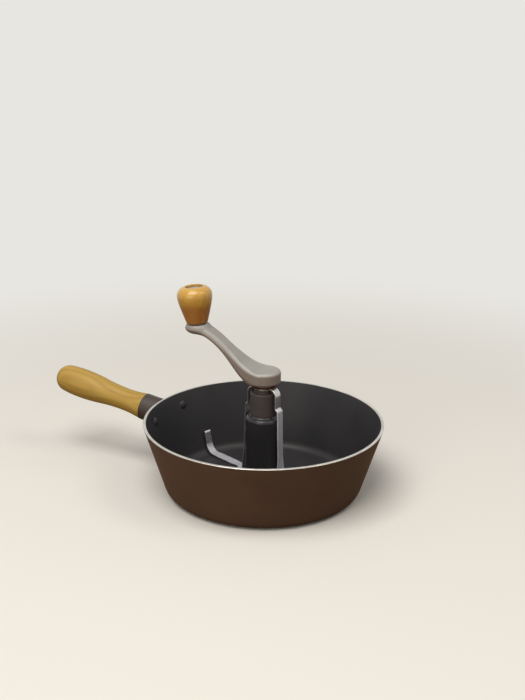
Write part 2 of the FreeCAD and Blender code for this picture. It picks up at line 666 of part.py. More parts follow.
def make_wooden_handle():
    """Turned wood: tenon, waist, a swelling for the palm and a round butt."""
    body = new_body("wooden_handle")
    middle_place = "((Sizes.palm_place + Sizes.waist_place) / 2)"
    middle_radius = "((Sizes.palm_radius + Sizes.waist_radius) / 2)"
    neck = easing_arc("Sizes.waist_place", "Sizes.joint_radius - Sizes.waist_radius")
    sway = easing_arc("(Sizes.palm_place - Sizes.waist_place) / 2",
                      "(Sizes.palm_radius - Sizes.waist_radius) / 2")
    taper = easing_arc("Sizes.handle_length - Sizes.butt_length - Sizes.palm_place",
                       "Sizes.palm_radius - Sizes.butt_radius")
    butt = easing_arc("Sizes.butt_radius", "Sizes.butt_length")
    pilot = "(Sizes.handle_screw_radius + Sizes.press_gap)"
    pilot_floor = f"(Sizes.handle_screw_length - {screw_head_seat} + Sizes.screw_end_gap)"
    revolve(body, (
        (pilot, "-Sizes.tenon_length"),
        ("Sizes.tenon_radius", "-Sizes.tenon_length"),
        ("Sizes.tenon_radius", "0"),
        ("Sizes.joint_radius", "0"),
        ("Sizes.waist_radius", "Sizes.waist_place"),
        (middle_radius, middle_place),
        ("Sizes.palm_radius", "Sizes.palm_place"),
        ("Sizes.butt_radius", "Sizes.handle_length - Sizes.butt_length"),
        ("0", "Sizes.handle_length"),
        ("0", pilot_floor),
        (pilot, f"{pilot_floor} - Sizes.handle_screw_point"),
    ), swells={5: sway, 6: taper, 7: butt}, hollows={3: neck, 4: sway})
    body.Placement = handle_place()
    doc.recompute()
    return body


def make_drive_sleeve():
    """Tube that turns on the spindle; its web takes the hub screw and the square drive."""
    body = new_body("drive_sleeve")
    hole = "(Sizes.hub_screw_radius + Sizes.clearance_gap)"
    shoulder = f"({sleeve_top} - Sizes.sleeve_neck_height)"
    revolve(body, (
        ("Sizes.sleeve_bore", sleeve_bottom),
        ("Sizes.sleeve_radius - Sizes.sleeve_edge", sleeve_bottom),
        ("Sizes.sleeve_radius", f"{sleeve_bottom} + Sizes.sleeve_edge"),
        ("Sizes.sleeve_radius", f"{shoulder} - Sizes.sleeve_edge"),
        ("Sizes.sleeve_radius - Sizes.sleeve_edge", shoulder),
        ("Sizes.sleeve_neck_radius", shoulder),
        ("Sizes.sleeve_neck_radius", sleeve_top),
        (hole, sleeve_top),
        (hole, web_bottom),
        ("Sizes.sleeve_bore", web_bottom),
    ))
    width = "(Sizes.square_width + 2 * Sizes.square_gap)"
    square = body.newObject("PartDesign::SubtractiveBox", "square_pocket")
    square.setExpression("Length", width)
    square.setExpression("Width", width)
    square.setExpression("Height", "Sizes.square_sink + Sizes.square_gap")
    square.setExpression("Placement.Base.x", f"-{width} / 2")
    square.setExpression("Placement.Base.y", f"-{width} / 2")
    square.setExpression("Placement.Base.z", f"{square_bottom} - Sizes.square_gap")
    body.Placement = crank_place()
    doc.recompute()
    return body


def make_bush(name, bottom):
    """Bronze bush pressed into the drive sleeve, running on the spindle."""
    outer = "(Sizes.sleeve_bore - Sizes.press_gap)"
    return make_upright_ring(name, outer, bush_bore, "Sizes.bush_length", bottom)


def make_hub_screw():
    """Cap screw from inside the sleeve up into the hub, with a hexagon socket."""
    body = new_body("hub_screw")
    seat = f"({web_bottom} - Sizes.lock_washer_thickness)"
    end = f"({hub_bottom} + Sizes.hub_screw_reach)"
    revolve(body, (
        ("0", f"{seat} - Sizes.hub_screw_head_height"),
        ("Sizes.hub_screw_head_radius", f"{seat} - Sizes.hub_screw_head_height"),
        ("Sizes.hub_screw_head_radius", seat),
        ("Sizes.hub_screw_radius", seat),
        ("Sizes.hub_screw_radius", end),
        ("0", end),
    ))
    return add_hexagon_socket(body, f"{seat} - Sizes.hub_screw_head_height", "Sizes.hex_depth")


def rounded_section(body, name, width, thickness, reach, height, slope):
    """Section of the crank arm: a rectangle with round corners, square to the arm's way.

    reach and height place its centre and slope is the arm's rise there."""
    sketch = new_sketch(body, name, "YZ_Plane")
    half_width = value(width) / 2
    half_thickness = value(thickness) / 2
    corner = value(thickness) * value("Sizes.arm_corner")
    flat = half_width - corner
    side = half_thickness - corner
    corners = ((1, 1), (-1, 1), (-1, -1), (1, -1))
    for index, (across, up) in enumerate(corners):
        centre = Vector(across * flat, up * side, 0)
        circle = Part.Circle(centre, UP, corner)
        start = math.radians(index * QUARTER_TURN)
        end = math.radians((index + 1) * QUARTER_TURN)
        sketch.addGeometry(Part.ArcOfCircle(circle, start, end))
    straights = (
        (Vector(flat, half_thickness, 0), Vector(-flat, half_thickness, 0)),
        (Vector(-half_width, side, 0), Vector(-half_width, -side, 0)),
        (Vector(-flat, -half_thickness, 0), Vector(flat, -half_thickness, 0)),
        (Vector(half_width, -side, 0), Vector(half_width, side, 0)),
    )
    for start, end in straights:
        sketch.addGeometry(Part.LineSegment(start, end))
    for index in range(4):
        straight = index + 4
        after = (index + 1) % 4
        sketch.addConstraint(Sketcher.Constraint("Tangent", index, 2, straight, 1))
        sketch.addConstraint(Sketcher.Constraint("Tangent", straight, 2, after, 1))
    for index in (1, 2, 3):
        sketch.addConstraint(Sketcher.Constraint("Equal", 0, index))
    sketch.addConstraint(Sketcher.Constraint("Horizontal", 4))
    sketch.addConstraint(Sketcher.Constraint("Vertical", 5))
    sketch.addConstraint(Sketcher.Constraint("Symmetric", 0, 3, 2, 3, -1, 1))
    for kind, first, second, size, expression in (
        ("DistanceX", (5, 1), (7, 1), 2 * half_width, width),
        ("DistanceY", (6, 1), (4, 1), 2 * half_thickness, thickness),
    ):
        rule = Sketcher.Constraint(kind, first[0], first[1], second[0], second[1], size)
        index = sketch.addConstraint(rule)
        sketch.setExpression(f"Constraints[{index}]", expression)
    index = sketch.addConstraint(Sketcher.Constraint("Radius", 0, corner))
    sketch.setExpression(f"Constraints[{index}]", f"({thickness}) * Sizes.arm_corner")
    climbing = value(slope) > 0
    tilt = Rotation(Vector(-1 if climbing else 1, 0, 0), max(abs(value(slope)), 1e-3))
    sketch.AttachmentOffset = Placement(Vector(0, value(height), value(reach)), tilt)
    sketch.setExpression("AttachmentOffset.Base.y", height)
    sketch.setExpression("AttachmentOffset.Base.z", reach)
    sketch.setExpression("AttachmentOffset.Rotation.Angle", f"abs({slope})")
    return sketch


def eased(share, first, last):
    """Smooth step from 0 to 1 as a share of the arm's length goes from first to last."""
    part = min(max((share - first) / (last - first), 0), 1)
    return part * part * (3 - 2 * part)


def make_arm():
    """The arm's S: its top climbs as 3u^2 - 2u^3, with a hump that meets the leaning seat,
    while its section slims from the hub to the middle and on to the knob."""
    body = new_body("arm")
    stations = (0.06, 0.16, 0.26, 0.36, 0.47, 0.60, 0.74, 0.88, 1.00)
    root_share = value("Sizes.arm_root_share")
    middle_share = value("Sizes.arm_middle_share")
    sections = []
    for number, share in enumerate(stations):
        first = eased(share, root_share, middle_share)
        second = eased(share, middle_share, 1)
        width, thickness = (
            f"(Sizes.arm_root_{size} + (Sizes.arm_middle_{size} - Sizes.arm_root_{size}) * {first}"
            f" + (Sizes.arm_tip_{size} - Sizes.arm_middle_{size}) * {second})"
            for size in ("width", "thickness"))
        climb = f"(Sizes.crank_rise * {3 * share ** 2 - 2 * share ** 3}" \
            f" + Sizes.crank_throw * tan(Sizes.knob_lean) * {share ** 2 - share ** 3})"
        slope = f"atan(Sizes.crank_rise / Sizes.crank_throw * {6 * share * (1 - share)}" \
            f" + tan(Sizes.knob_lean) * {2 * share - 3 * share ** 2})"
        reach = f"Sizes.crank_throw * {share} + {thickness} / 2 * sin({slope})"
        height = f"{hub_top} + {climb} - {thickness} / 2 * cos({slope})"
        sections.append(rounded_section(body, f"section_{number}", width, thickness, reach, height, slope))
    doc.recompute()
    loft = body.newObject("PartDesign::AdditiveLoft", "arm_loft")
    loft.Profile = sections[0]
    loft.Sections = sections[1:]
    loft.Ruled = False
    body.Placement = crank_place()
    doc.recompute()
    return body


def make_crank_arm():
    """Cast crank: round hub, S shaped arm, seat for the knob and the square drive below."""
    hub = new_body("hub")
    edge_top = "Sizes.hub_edge_top"
    edge_bottom = "Sizes.hub_edge_bottom"
    revolve(hub, (
        ("0", boss_bottom),
        ("Sizes.hub_boss_radius", boss_bottom),
        ("Sizes.hub_boss_radius", hub_bottom),
        (f"Sizes.hub_radius - {edge_bottom}", hub_bottom),
        ("Sizes.hub_radius", f"{hub_bottom} + {edge_bottom}"),
        ("Sizes.hub_radius", f"{hub_top} - {edge_top}"),
        (f"Sizes.hub_radius - {edge_top}", hub_top),
        ("0", hub_top),
    ), swells={3: edge_bottom, 5: edge_top})

    pad = new_body("pad")
    revolve(pad, (
        ("0", "-Sizes.pad_thickness"),
        ("Sizes.pad_radius - Sizes.pad_edge", "-Sizes.pad_thickness"),
        ("Sizes.pad_radius", "Sizes.pad_edge - Sizes.pad_thickness"),
        ("Sizes.pad_radius", "0"),
        ("0", "0"),
    ), swells={1: "Sizes.pad_edge"})
    pad.Placement = knob_place()

    drive_height = f"{hub_bottom} - {square_bottom} + Sizes.square_sink"
    drive = add_box("square_drive", "Sizes.square_width", drive_height, square_bottom, "Sizes.crank_turn_rest")
    blank = fuse("crank_blank", [hub, make_arm(), pad, drive])
    thread = add_cylinder("hub_thread", "Sizes.hub_screw_radius + Sizes.press_gap",
                          f"{hub_bottom} - {square_bottom} + Sizes.hub_screw_reach + Sizes.screw_end_gap",
                          Placement(UP * value(square_bottom), Rotation()))
    tail = add_cylinder("knob_hole", "Sizes.knob_tail_radius + Sizes.press_gap", "4 * Sizes.pad_thickness",
                        shifted(knob_place(), "-2 * Sizes.pad_thickness"))
    head_room = add_cylinder("rivet_room", "Sizes.knob_rivet_radius + Sizes.clearance_gap",
                             "Sizes.pad_thickness", shifted(knob_place(), "-2 * Sizes.pad_thickness"))
    above = add_cylinder("seat_room", "Sizes.pad_radius + Sizes.clearance_gap", "Sizes.pad_thickness",
                         knob_place())
    return cut("crank_arm", blank, fuse("crank_holes", [thread, tail, head_room, above]))


def make_knob_spindle():
    """Pin with a broad flat head in the knob's recess, riveted over under the arm."""
    body = new_body("knob_spindle")
    recess_floor = "(Sizes.knob_washer_thickness + Sizes.knob_height - Sizes.knob_recess)"
    head = f"({recess_floor} + Sizes.knob_play)"
    dome = easing_arc("Sizes.knob_rivet_radius", "Sizes.knob_rivet_height")
    revolve(body, (
        ("0", "-Sizes.pad_thickness - Sizes.knob_rivet_height"),
        ("Sizes.knob_rivet_radius", "-Sizes.pad_thickness"),
        ("Sizes.knob_tail_radius", "-Sizes.pad_thickness"),
        ("Sizes.knob_tail_radius", "0"),
        ("Sizes.knob_shank_radius", "0"),
        ("Sizes.knob_shank_radius", head),
        ("Sizes.knob_head_radius", head),
        ("Sizes.knob_head_radius", f"{head} + Sizes.knob_head_thickness"),
        ("0", f"{head} + Sizes.knob_head_thickness"),
    ), swells={0: dome})
    body.Placement = knob_place()
    doc.recompute()
    return body


def make_knob_washer():
    """Washer between the knob and the arm."""
    inner = "(Sizes.knob_shank_radius + Sizes.clearance_gap)"
    body = make_ring("knob_washer", "Sizes.knob_washer_radius", inner, "Sizes.knob_washer_thickness")
    body.Placement = knob_place()
    return body


def make_knob():
    """Turned wooden knob, widest near its top, with a round recess for the spindle's head."""
    body = new_body("knob")
    bore = "(Sizes.knob_shank_radius + Sizes.running_gap)"
    side = easing_arc("Sizes.knob_belly_height", "Sizes.knob_belly_radius - Sizes.knob_bottom_radius")
    shoulder = easing_arc("Sizes.knob_height - Sizes.knob_belly_height",
                          "Sizes.knob_belly_radius - Sizes.knob_mouth_radius")
    recess_floor = "(Sizes.knob_height - Sizes.knob_recess)"
    turned = revolve(body, (
        (bore, "0"),
        ("Sizes.knob_bottom_radius", "0"),
        ("Sizes.knob_belly_radius", "Sizes.knob_belly_height"),
        ("Sizes.knob_mouth_radius", "Sizes.knob_height"),
        ("Sizes.knob_mouth_radius", recess_floor),
        (bore, recess_floor),
    ), swells={1: side, 2: shoulder})
    round_edges(body, "knob_bottom_edge", turned, "Sizes.knob_edge", ring_at("Sizes.knob_bottom_radius", "0"))
    body.Placement = shifted(knob_place(), "Sizes.knob_washer_thickness")
    return body


class BentStrip:
    """A flat strip that is led from step to step as it is bent on a bench.

    point is the middle of its section, along the way it runs and face the side it shows.
    Every step adds the section that it ends with, and curved steps add several."""

    FACET = 12

    def __init__(self, point, along, face):
        self.point = point
        self.along = along
        self.face = face
        self.sections = [self.section()]

    def section(self):
        across = self.along.cross(self.face) * (value("Sizes.strip_width") / 2)
        through = self.face * (value("Sizes.strip_thickness") / 2)
        corners = [across + through, across * -1 + through, across * -1 - through, across - through]
        return Part.makePolygon([self.point + corner for corner in corners + corners[:1]])

    def sweep(self, axis, pivot, angle):
        """Carries the strip round an axis through a pivot."""
        steps = max(1, math.ceil(abs(angle) / self.FACET))
        turn = Rotation(axis, angle / steps)
        for _ in range(steps):
            self.point = pivot + turn.multVec(self.point - pivot)
            self.along = turn.multVec(self.along)
            self.face = turn.multVec(self.face)
            self.sections.append(self.section())

    def straight(self, length):
        self.point = self.point + self.along * length
        self.sections.append(self.section())

    def bend(self, angle, radius):
        """Bends the strip towards its face, or away from it where the angle is negative."""
        side = math.copysign(1, angle)
        self.sweep(self.along.cross(self.face), self.point + self.face * radius * side, angle)

    def turn(self, angle, radius):
        """Turns the strip in its own plane, anticlockwise as seen on its face."""
        left = self.face.cross(self.along)
        self.sweep(self.face, self.point + left * radius * math.copysign(1, angle), angle)

    def twist(self, angle, length):
        """Twists the strip about its own middle line."""
        steps = max(1, math.ceil(abs(angle) / self.FACET))
        turn = Rotation(self.along, angle / steps)
        for _ in range(steps):
            self.point = self.point + self.along * (length / steps)
            self.face = turn.multVec(self.face)
            self.sections.append(self.section())

    def down_to(self, height):
        """Runs straight on until the middle line is at a height."""
        self.straight((self.point.z - height) / -self.along.z)

    def way_to_ring(self, radius):
        """Length straight on, over the floor, to a circle round the post's axis."""
        spot = Vector(self.point.x, self.point.y, 0)
        passed = spot.dot(self.along)
        return math.sqrt(radius ** 2 - spot.Length ** 2 + passed ** 2) - passed

    def solid(self):
        return Part.makeLoft(self.sections, True, True)


def blade_strip(tab):
    """The strip of one blade, its tab at a height and its way out along X.

    It comes out under the hub, drops beside the sleeve, steps out round the post, twists,
    and runs over the pan's floor with an elbow to the wall, where its toe turns up."""
    half_strip = value("Sizes.strip_thickness") / 2
    bend = value("Sizes.bend_radius")
    jog = value("Sizes.jog_angle")
    lean = value("Sizes.drop_lean")
    post_side = value("Sizes.post_radius + Sizes.post_clearance") + half_strip
    step_out = post_side - value("Sizes.drop_radius")
    step_arcs = 2 * bend * (1 - math.cos(math.radians(jog)))
    run_height = value("Sizes.floor_thickness + Sizes.scrape_gap") + half_strip

    strip = BentStrip(Vector(0, 0, value(tab) + half_strip), Vector(1, 0, 0), UP)
    strip.straight(value("Sizes.drop_radius - Sizes.crown_radius"))
    strip.bend(-QUARTER_TURN, value("Sizes.crown_radius"))
    strip.down_to(value("Sizes.jog_height"))
    strip.bend(jog, bend)
    strip.straight((step_out - step_arcs) / math.sin(math.radians(jog)))
    strip.bend(lean - jog, bend)
    strip.down_to(value("Sizes.twist_top"))
    strip.twist(value("Sizes.twist_angle"), value("Sizes.twist_top - Sizes.twist_bottom"))
    levelling = math.degrees(math.atan2(-strip.along.z, strip.face.z))
    drop = bend * (math.cos(math.radians(QUARTER_TURN - levelling)) * -strip.along.z)
    strip.down_to(run_height + drop)
    strip.bend(levelling, bend)
    strip.straight(value("Sizes.first_leg"))
    strip.turn(value("Sizes.elbow_angle"), value("Sizes.elbow_radius"))
    wall_inside = f"({wall_outside('Sizes.floor_thickness')} - {wall_across})"
    second_leg = strip.way_to_ring(value(f"{wall_inside} - Sizes.toe_gap"))
    strip.twist(-value("Sizes.plough_angle"), value("Sizes.plough_run"))
    strip.straight(second_leg - value("2 * Sizes.plough_run"))
    strip.twist(value("Sizes.plough_angle"), value("Sizes.plough_run"))
    strip.bend(QUARTER_TURN - value("Sizes.wall_lean"), value("Sizes.toe_radius"))
    strip.straight(value("Sizes.toe_length"))
    return strip.solid()


def make_blade(name, tab, turn):
    """One stirring blade: the strip, and its eye with a square hole on the hub's drive."""
    strip = doc.addObject("Part::Feature", name + "_strip")
    strip.Shape = blade_strip(tab)
    strip.Placement = Placement(Vector(0, 0, 0), Rotation(UP, turn))
    eye = add_cylinder(name + "_eye", "Sizes.eye_radius", "Sizes.strip_thickness",
                       Placement(UP * value(tab), Rotation()))
    hole = add_box(name + "_hole", "Sizes.square_width + 2 * Sizes.square_gap", "3 * Sizes.strip_thickness",
                   f"{tab} - Sizes.strip_thickness", "Sizes.crank_turn_rest")
    return cut(name, fuse(name + "_blank", [strip, eye]), hole)


square_corner = "(Sizes.square_width / sqrt(2))"
rear_turn = value("Sizes.blade_turn_rest")

nodes = [
    make_pan_bowl(),
    make_centre_post(),
    make_post_screw(),
    make_post_spindle(),
    make_handle_bracket(),
    make_handle_rivets(),
    make_handle_screw(),
    make_screw_washer(),
    make_wooden_handle(),
    make_upright_ring("thrust_washer", "Sizes.thrust_washer_radius",
                      "Sizes.spindle_radius + Sizes.clearance_gap", "Sizes.thrust_washer_thickness",
                      "Sizes.post_height"),
    make_drive_sleeve(),
    make_bush("lower_bush", sleeve_bottom),
    make_bush("upper_bush", f"{spindle_top} - Sizes.spindle_chamfer - Sizes.bush_length"),
    make_upright_ring("copper_washer", "Sizes.copper_washer_radius",
                      f"{square_corner} + Sizes.clearance_gap", "Sizes.copper_washer_thickness", washer_seat),
    make_blade("blade_rear", sleeve_top, rear_turn),
    make_blade("blade_front", second_tab, rear_turn + HALF_TURN),
    slit_ring(make_upright_ring("hub_lock_washer", "Sizes.lock_washer_radius",
                                "Sizes.hub_screw_radius + Sizes.clearance_gap", "Sizes.lock_washer_thickness",
                                f"{web_bottom} - Sizes.lock_washer_thickness"), "Sizes.lock_washer_radius"),
    make_hub_screw(),
    make_crank_arm(),
    make_knob_spindle(),
    make_knob_washer(),
    make_knob(),
]
doc.recompute()

for thing in doc.Objects:
    if "Invalid" in thing.State or "Error" in thing.State:
        raise RuntimeError(f"{thing.Name} failed: {thing.State}")
for node in nodes:
    if node.Shape.isNull() or not node.Shape.isValid():
        raise RuntimeError(f"{node.Label} has no valid shape")

os.makedirs("parts", exist_ok=True)
for node in nodes:
    node.Shape.exportStep(f"parts/{node.Label}.step")
    box = node.Shape.optimalBoundingBox()
    print(f"{node.Label}: {len(node.Shape.Solids)} solid(s), {node.Shape.Volume:.0f} mm3, "
          f"x {box.XMin:.1f} to {box.XMax:.1f}, y {box.YMin:.1f} to {box.YMax:.1f}, "
          f"z {box.ZMin:.1f} to {box.ZMax:.1f}")
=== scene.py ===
# %% [markdown]
# # A hand cranked nut roaster
# The real object is a dark cast pan with a post in its middle. A stirrer stands on the post: a sleeve, two
# bent steel strips and a cast crank with a wooden knob. A bracket is riveted to the pan's wall and holds a
# long turned handle. The CAD model is loaded first and never changed. Where its shape is enough it only gets
# a better finish, and where the eye rests longer a finer surface stands in for it, in the same place and of
# the same size.

import math

import bpy
import numpy as np
from mathutils import Matrix, Vector


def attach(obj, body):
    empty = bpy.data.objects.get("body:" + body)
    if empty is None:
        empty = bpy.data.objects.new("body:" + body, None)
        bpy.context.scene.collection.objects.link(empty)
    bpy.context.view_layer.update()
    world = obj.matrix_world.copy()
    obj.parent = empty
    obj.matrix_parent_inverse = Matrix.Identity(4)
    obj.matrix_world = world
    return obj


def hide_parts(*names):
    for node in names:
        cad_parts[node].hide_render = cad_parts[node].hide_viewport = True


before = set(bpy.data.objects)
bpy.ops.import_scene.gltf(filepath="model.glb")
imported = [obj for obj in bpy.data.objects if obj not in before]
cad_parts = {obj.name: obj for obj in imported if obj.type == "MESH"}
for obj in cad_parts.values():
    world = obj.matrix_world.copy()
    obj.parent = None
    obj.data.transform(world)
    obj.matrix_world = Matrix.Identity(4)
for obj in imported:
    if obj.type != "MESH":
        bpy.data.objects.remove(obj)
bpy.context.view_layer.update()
MM = 0.001

# %% [markdown]
# ## The camera
# The photograph looks down into the pan from the front right of the handle. The camera's place, tilt, roll
# and lens were found from the pan's rim, its base and the post. A camera could be aimed with a constraint,
# but one matrix from its direction and roll is plainer and leaves nothing live behind. The Standard view
# shows colours as they are written, without the softening curve that film-like views put over them.

# %% Camera
CAMERA_PLACE = Vector((0.47848, -0.96362, 0.50492))
CAMERA_VIEW = Vector((-0.4235, 0.8494, -0.3149))
CAMERA_ROLL = math.radians(0.593)
FOCAL_LENGTH, SENSOR = 59.14, 36.0

lens = bpy.data.cameras.new("camera")
lens.lens = FOCAL_LENGTH
lens.sensor_width = SENSOR
camera = bpy.data.objects.new("camera", lens)
bpy.context.collection.objects.link(camera)
aim = CAMERA_VIEW.to_track_quat("-Z", "Y").to_matrix().to_4x4()
camera.matrix_world = Matrix.Translation(CAMERA_PLACE) @ aim @ Matrix.Rotation(CAMERA_ROLL, 4, "Z")
bpy.context.scene.camera = camera
bpy.context.scene.view_settings.view_transform = "Standard"
print("camera at", [round(number, 3) for number in CAMERA_PLACE])

# %% [markdown]
# ## Helpers for finishes
# Colours are written as the sRGB codes that an eye would pick, and one function turns them into the linear
# light that a shader adds up. Shader trees are built with one small function that adds a node, sets its
# sockets and properties, and links what feeds it, so each finish below reads from top to bottom. Finishes
# could be drawn as images instead, but a pattern in real millimetres fits every piece and has no seams.


# %% Colour and node helpers
def colour(code):
    """sRGB hex to linear RGBA: each channel c becomes ((c + 0.055) / 1.055) ^ 2.4, or c / 12.92 if small."""
    channels = np.array([int(code[at:at + 2], 16) for at in (1, 3, 5)]) / 255
    linear = np.where(channels <= 0.04045, channels / 12.92, ((channels + 0.055) / 1.055) ** 2.4)
    return (*linear.tolist(), 1.0)


def add(tree, kind, settings=None, links=None):
    """Adds one node. A key names an input socket, by name or number, or else a property of the node."""
    node = tree.nodes.new("ShaderNode" + kind)
    for key, setting in (settings or {}).items():
        if isinstance(key, int) or key in node.inputs:
            node.inputs[key].default_value = setting
        else:
            setattr(node, key, setting)
    for key, source in (links or {}).items():
        tree.links.new(source, node.inputs[key])
    return node


def new_finish(name, **sockets):
    """A material with one Principled shader, its constant sockets set, and the piece's own coordinates."""
    finish = bpy.data.materials.new(name)
    finish.use_nodes = True
    tree = finish.node_tree
    shader = tree.nodes["Principled BSDF"]
    for socket, setting in sockets.items():
        shader.inputs[socket.replace("_", " ")].default_value = setting
    places = tree.nodes.new("ShaderNodeTexCoord").outputs["Object"]
    return finish, tree, shader, places


print("middle grey, #808080, is", round(colour("#808080")[0], 3), "in linear light")


# %% Pattern helpers
def noise(tree, vector, size, detail, roughness=0.5, output="Fac"):
    """Noise from 0 to 1 whose patches are about size millimetres across."""
    settings = {"Scale": 1 / (size * MM), "Detail": detail, "Roughness": roughness}
    return add(tree, "TexNoise", settings, {"Vector": vector}).outputs[output]


def weighted(tree, pattern, weight, base):
    """pattern * weight + base."""
    return add(tree, "Math", {"operation": "MULTIPLY_ADD", 1: weight}, {0: pattern, 2: base}).outputs[0]


def ranged(tree, share, low, high):
    """Maps a pattern from 0..1 to low..high in a straight line."""
    return add(tree, "MapRange", {"To Min": low, "To Max": high}, {"Value": share}).outputs["Result"]


def soft_step(tree, value, start, end, low=0.0, high=1.0):
    """Goes from low to high in a soft S, 3p^2 - 2p^3, while value goes from start to end."""
    settings = {"From Min": start, "From Max": end, "To Min": low, "To Max": high,
                "interpolation_type": "SMOOTHSTEP"}
    return add(tree, "MapRange", settings, {"Value": value}).outputs["Result"]


def blend_colours(tree, share, stops):
    """A colour ramp: stops are (share, sRGB code) pairs, from low to high."""
    ramp = add(tree, "ValToRGB", links={"Fac": share})
    elements = ramp.color_ramp.elements
    while len(elements) < len(stops):
        elements.new(0.5)
    for element, (position, code) in zip(elements, stops):
        element.position = position
        element.color = colour(code)
    return ramp.outputs["Color"]


def dress(tree, shader, tone, roughness, relief, strength, depth):
    """Links tone and roughness, and lets the relief pattern tilt the light as if it were depth mm deep."""
    bump = add(tree, "Bump", {"Strength": strength, "Distance": depth * MM}, {"Height": relief})
    for socket, source in (("Base Color", tone), ("Roughness", roughness), ("Normal", bump.outputs["Normal"])):
        tree.links.new(source, shader.inputs[socket])


# %% [markdown]
# ## Helpers for shapes
# Nearly every piece here was turned, cast or bent, so it is a row of closed rings: a ring for each place
# along the piece, joined to the next with a band of faces. Turned parts could be spun with a modifier, but
# rings as whole arrays are quick, keep their normals in hand and let a ring have any outline.


# %% Rings to meshes
def shell(rings, first_pole=None, last_pole=None, loop=False, mark=0):
    """One closed surface from rings of points, an array (rings, points, 3) in millimetres.

    Neighbouring rings are joined with a band of four-sided faces, and every ring closes on itself. A pole is
    one point that closes an end with a fan, and loop joins the last ring to the first. mark is the number of
    the finish for each band, as one number or one per band. If the volume comes out negative, the faces are
    turned round, so that they point outwards."""
    rings = np.asarray(rings, float)
    count, around = rings.shape[:2]
    points = rings.reshape(-1, 3)
    bands = count if loop else count - 1
    first = (np.arange(bands) * around)[:, None]
    second = ((np.arange(bands) + 1) % count * around)[:, None]
    here = np.arange(around)[None, :]
    after = (here + 1) % around
    quads = np.stack([first + here, first + after, second + after, second + here], -1).reshape(-1, 4)
    marks = np.repeat(np.broadcast_to(mark, bands), around)
    fans, fan_marks = [], []
    for pole, start, turn in ((first_pole, 0, 1), (last_pole, (count - 1) * around, -1)):
        if pole is not None:
            ring = start + np.arange(around)
            fans.append(np.stack([np.full(around, len(points)), np.roll(ring, -1), ring][::turn], -1))
            fan_marks.append(np.full(around, marks[0] if turn == 1 else marks[-1]))
            points = np.vstack([points, pole])
    triangles = np.vstack(fans) if fans else np.zeros((0, 3), int)
    halves = np.vstack([quads[:, [0, 1, 2]], quads[:, [0, 2, 3]], triangles])
    a, b, c = (points[halves[:, column]] for column in range(3))
    if np.einsum("ij,ij->i", a, np.cross(b, c)).sum() < 0:
        quads, triangles = quads[:, ::-1], triangles[:, ::-1]
    return points, quads, triangles, np.concatenate([marks, *fan_marks])


def piece(name, shells, finishes, body, stands_for, sharp=38):
    """Makes a mesh object from shells and ties it to the frame.

    It is shaded smooth but for the edges that are sharper than sharp, in degrees."""
    start, points, sides, corners, marks = 0, [], [], [], []
    for shell_points, quads, triangles, shell_marks in shells:
        points.append(shell_points)
        sides.append(np.concatenate([np.full(len(quads), 4), np.full(len(triangles), 3)]))
        corners.append(np.concatenate([quads.ravel(), triangles.ravel()]) + start)
        marks.append(shell_marks)
        start += len(shell_points)
    points, sides, corners, marks = (np.concatenate(part) for part in (points, sides, corners, marks))
    mesh = bpy.data.meshes.new(name)
    mesh.vertices.add(len(points))
    mesh.vertices.foreach_set("co", (points * MM).astype(np.float32).ravel())
    mesh.loops.add(len(corners))
    mesh.loops.foreach_set("vertex_index", corners.astype(np.int32))
    mesh.polygons.add(len(sides))
    mesh.polygons.foreach_set("loop_start", (np.cumsum(sides) - sides).astype(np.int32))
    mesh.polygons.foreach_set("material_index", marks.astype(np.int32))
    mesh.update(calc_edges=True)
    for finish in finishes:
        mesh.materials.append(finish)
    mesh.shade_smooth()
    mesh.set_sharp_from_angle(angle=math.radians(sharp))
    thing = bpy.data.objects.new(name, mesh)
    bpy.context.collection.objects.link(thing)
    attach(thing, body)
    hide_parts(*stands_for)
    low, high = points.min(0), points.max(0)
    print(f"{name}: {len(points)} points, size {np.round(high - low, 1)} mm")


# %% Outlines and turning
HAIR = 0.01  # mm, keeps two points of an outline just apart
POLE_RING = 0.4  # mm, radius of the small ring round a pole


def arc_between(start, end, centre, steps):
    """Points on the shorter arc from start to end round a centre, by an even turn of the radius."""
    first, last = start - centre, end - centre
    angle = math.atan2(first[0] * last[1] - first[1] * last[0], first @ last)
    turns = np.linspace(0, angle, steps)[:, None]
    across = np.array([-first[1], first[0]])
    return centre + first * np.cos(turns) + across * np.sin(turns)


def rounded(corners, radii, steps=9):
    """A line through corners where a corner with a radius becomes an arc that touches both its sides.

    The arc's centre lies on the line that halves the corner, at radius / sin(half the angle)."""
    corners = np.asarray(corners, float)
    line = []
    for number, (corner, radius) in enumerate(zip(corners, radii)):
        if not radius:
            line.append(corner[None, :])
            continue
        back = corners[number - 1] - corner
        ahead = corners[(number + 1) % len(corners)] - corner
        back, ahead = back / np.hypot(*back), ahead / np.hypot(*ahead)
        half = math.acos(np.clip(back @ ahead, -1, 1)) / 2
        middle = (back + ahead) / np.hypot(*(back + ahead))
        reach = radius / math.tan(half)
        line.append(arc_between(corner + back * reach, corner + ahead * reach,
                                corner + middle * radius / math.sin(half), steps))
    return np.vstack(line)


def divided(line, step, closed=False):
    """The same line with more points, so that no part of it is longer than step."""
    ends = np.vstack([line, line[:1]]) if closed else line
    lengths = np.hypot(*np.diff(ends, axis=0).T)
    parts = [np.linspace(a, b, max(1, math.ceil(length / step)), endpoint=False)
             for a, b, length in zip(ends[:-1], ends[1:], lengths)]
    return np.vstack(parts if closed else parts + [line[-1:]])


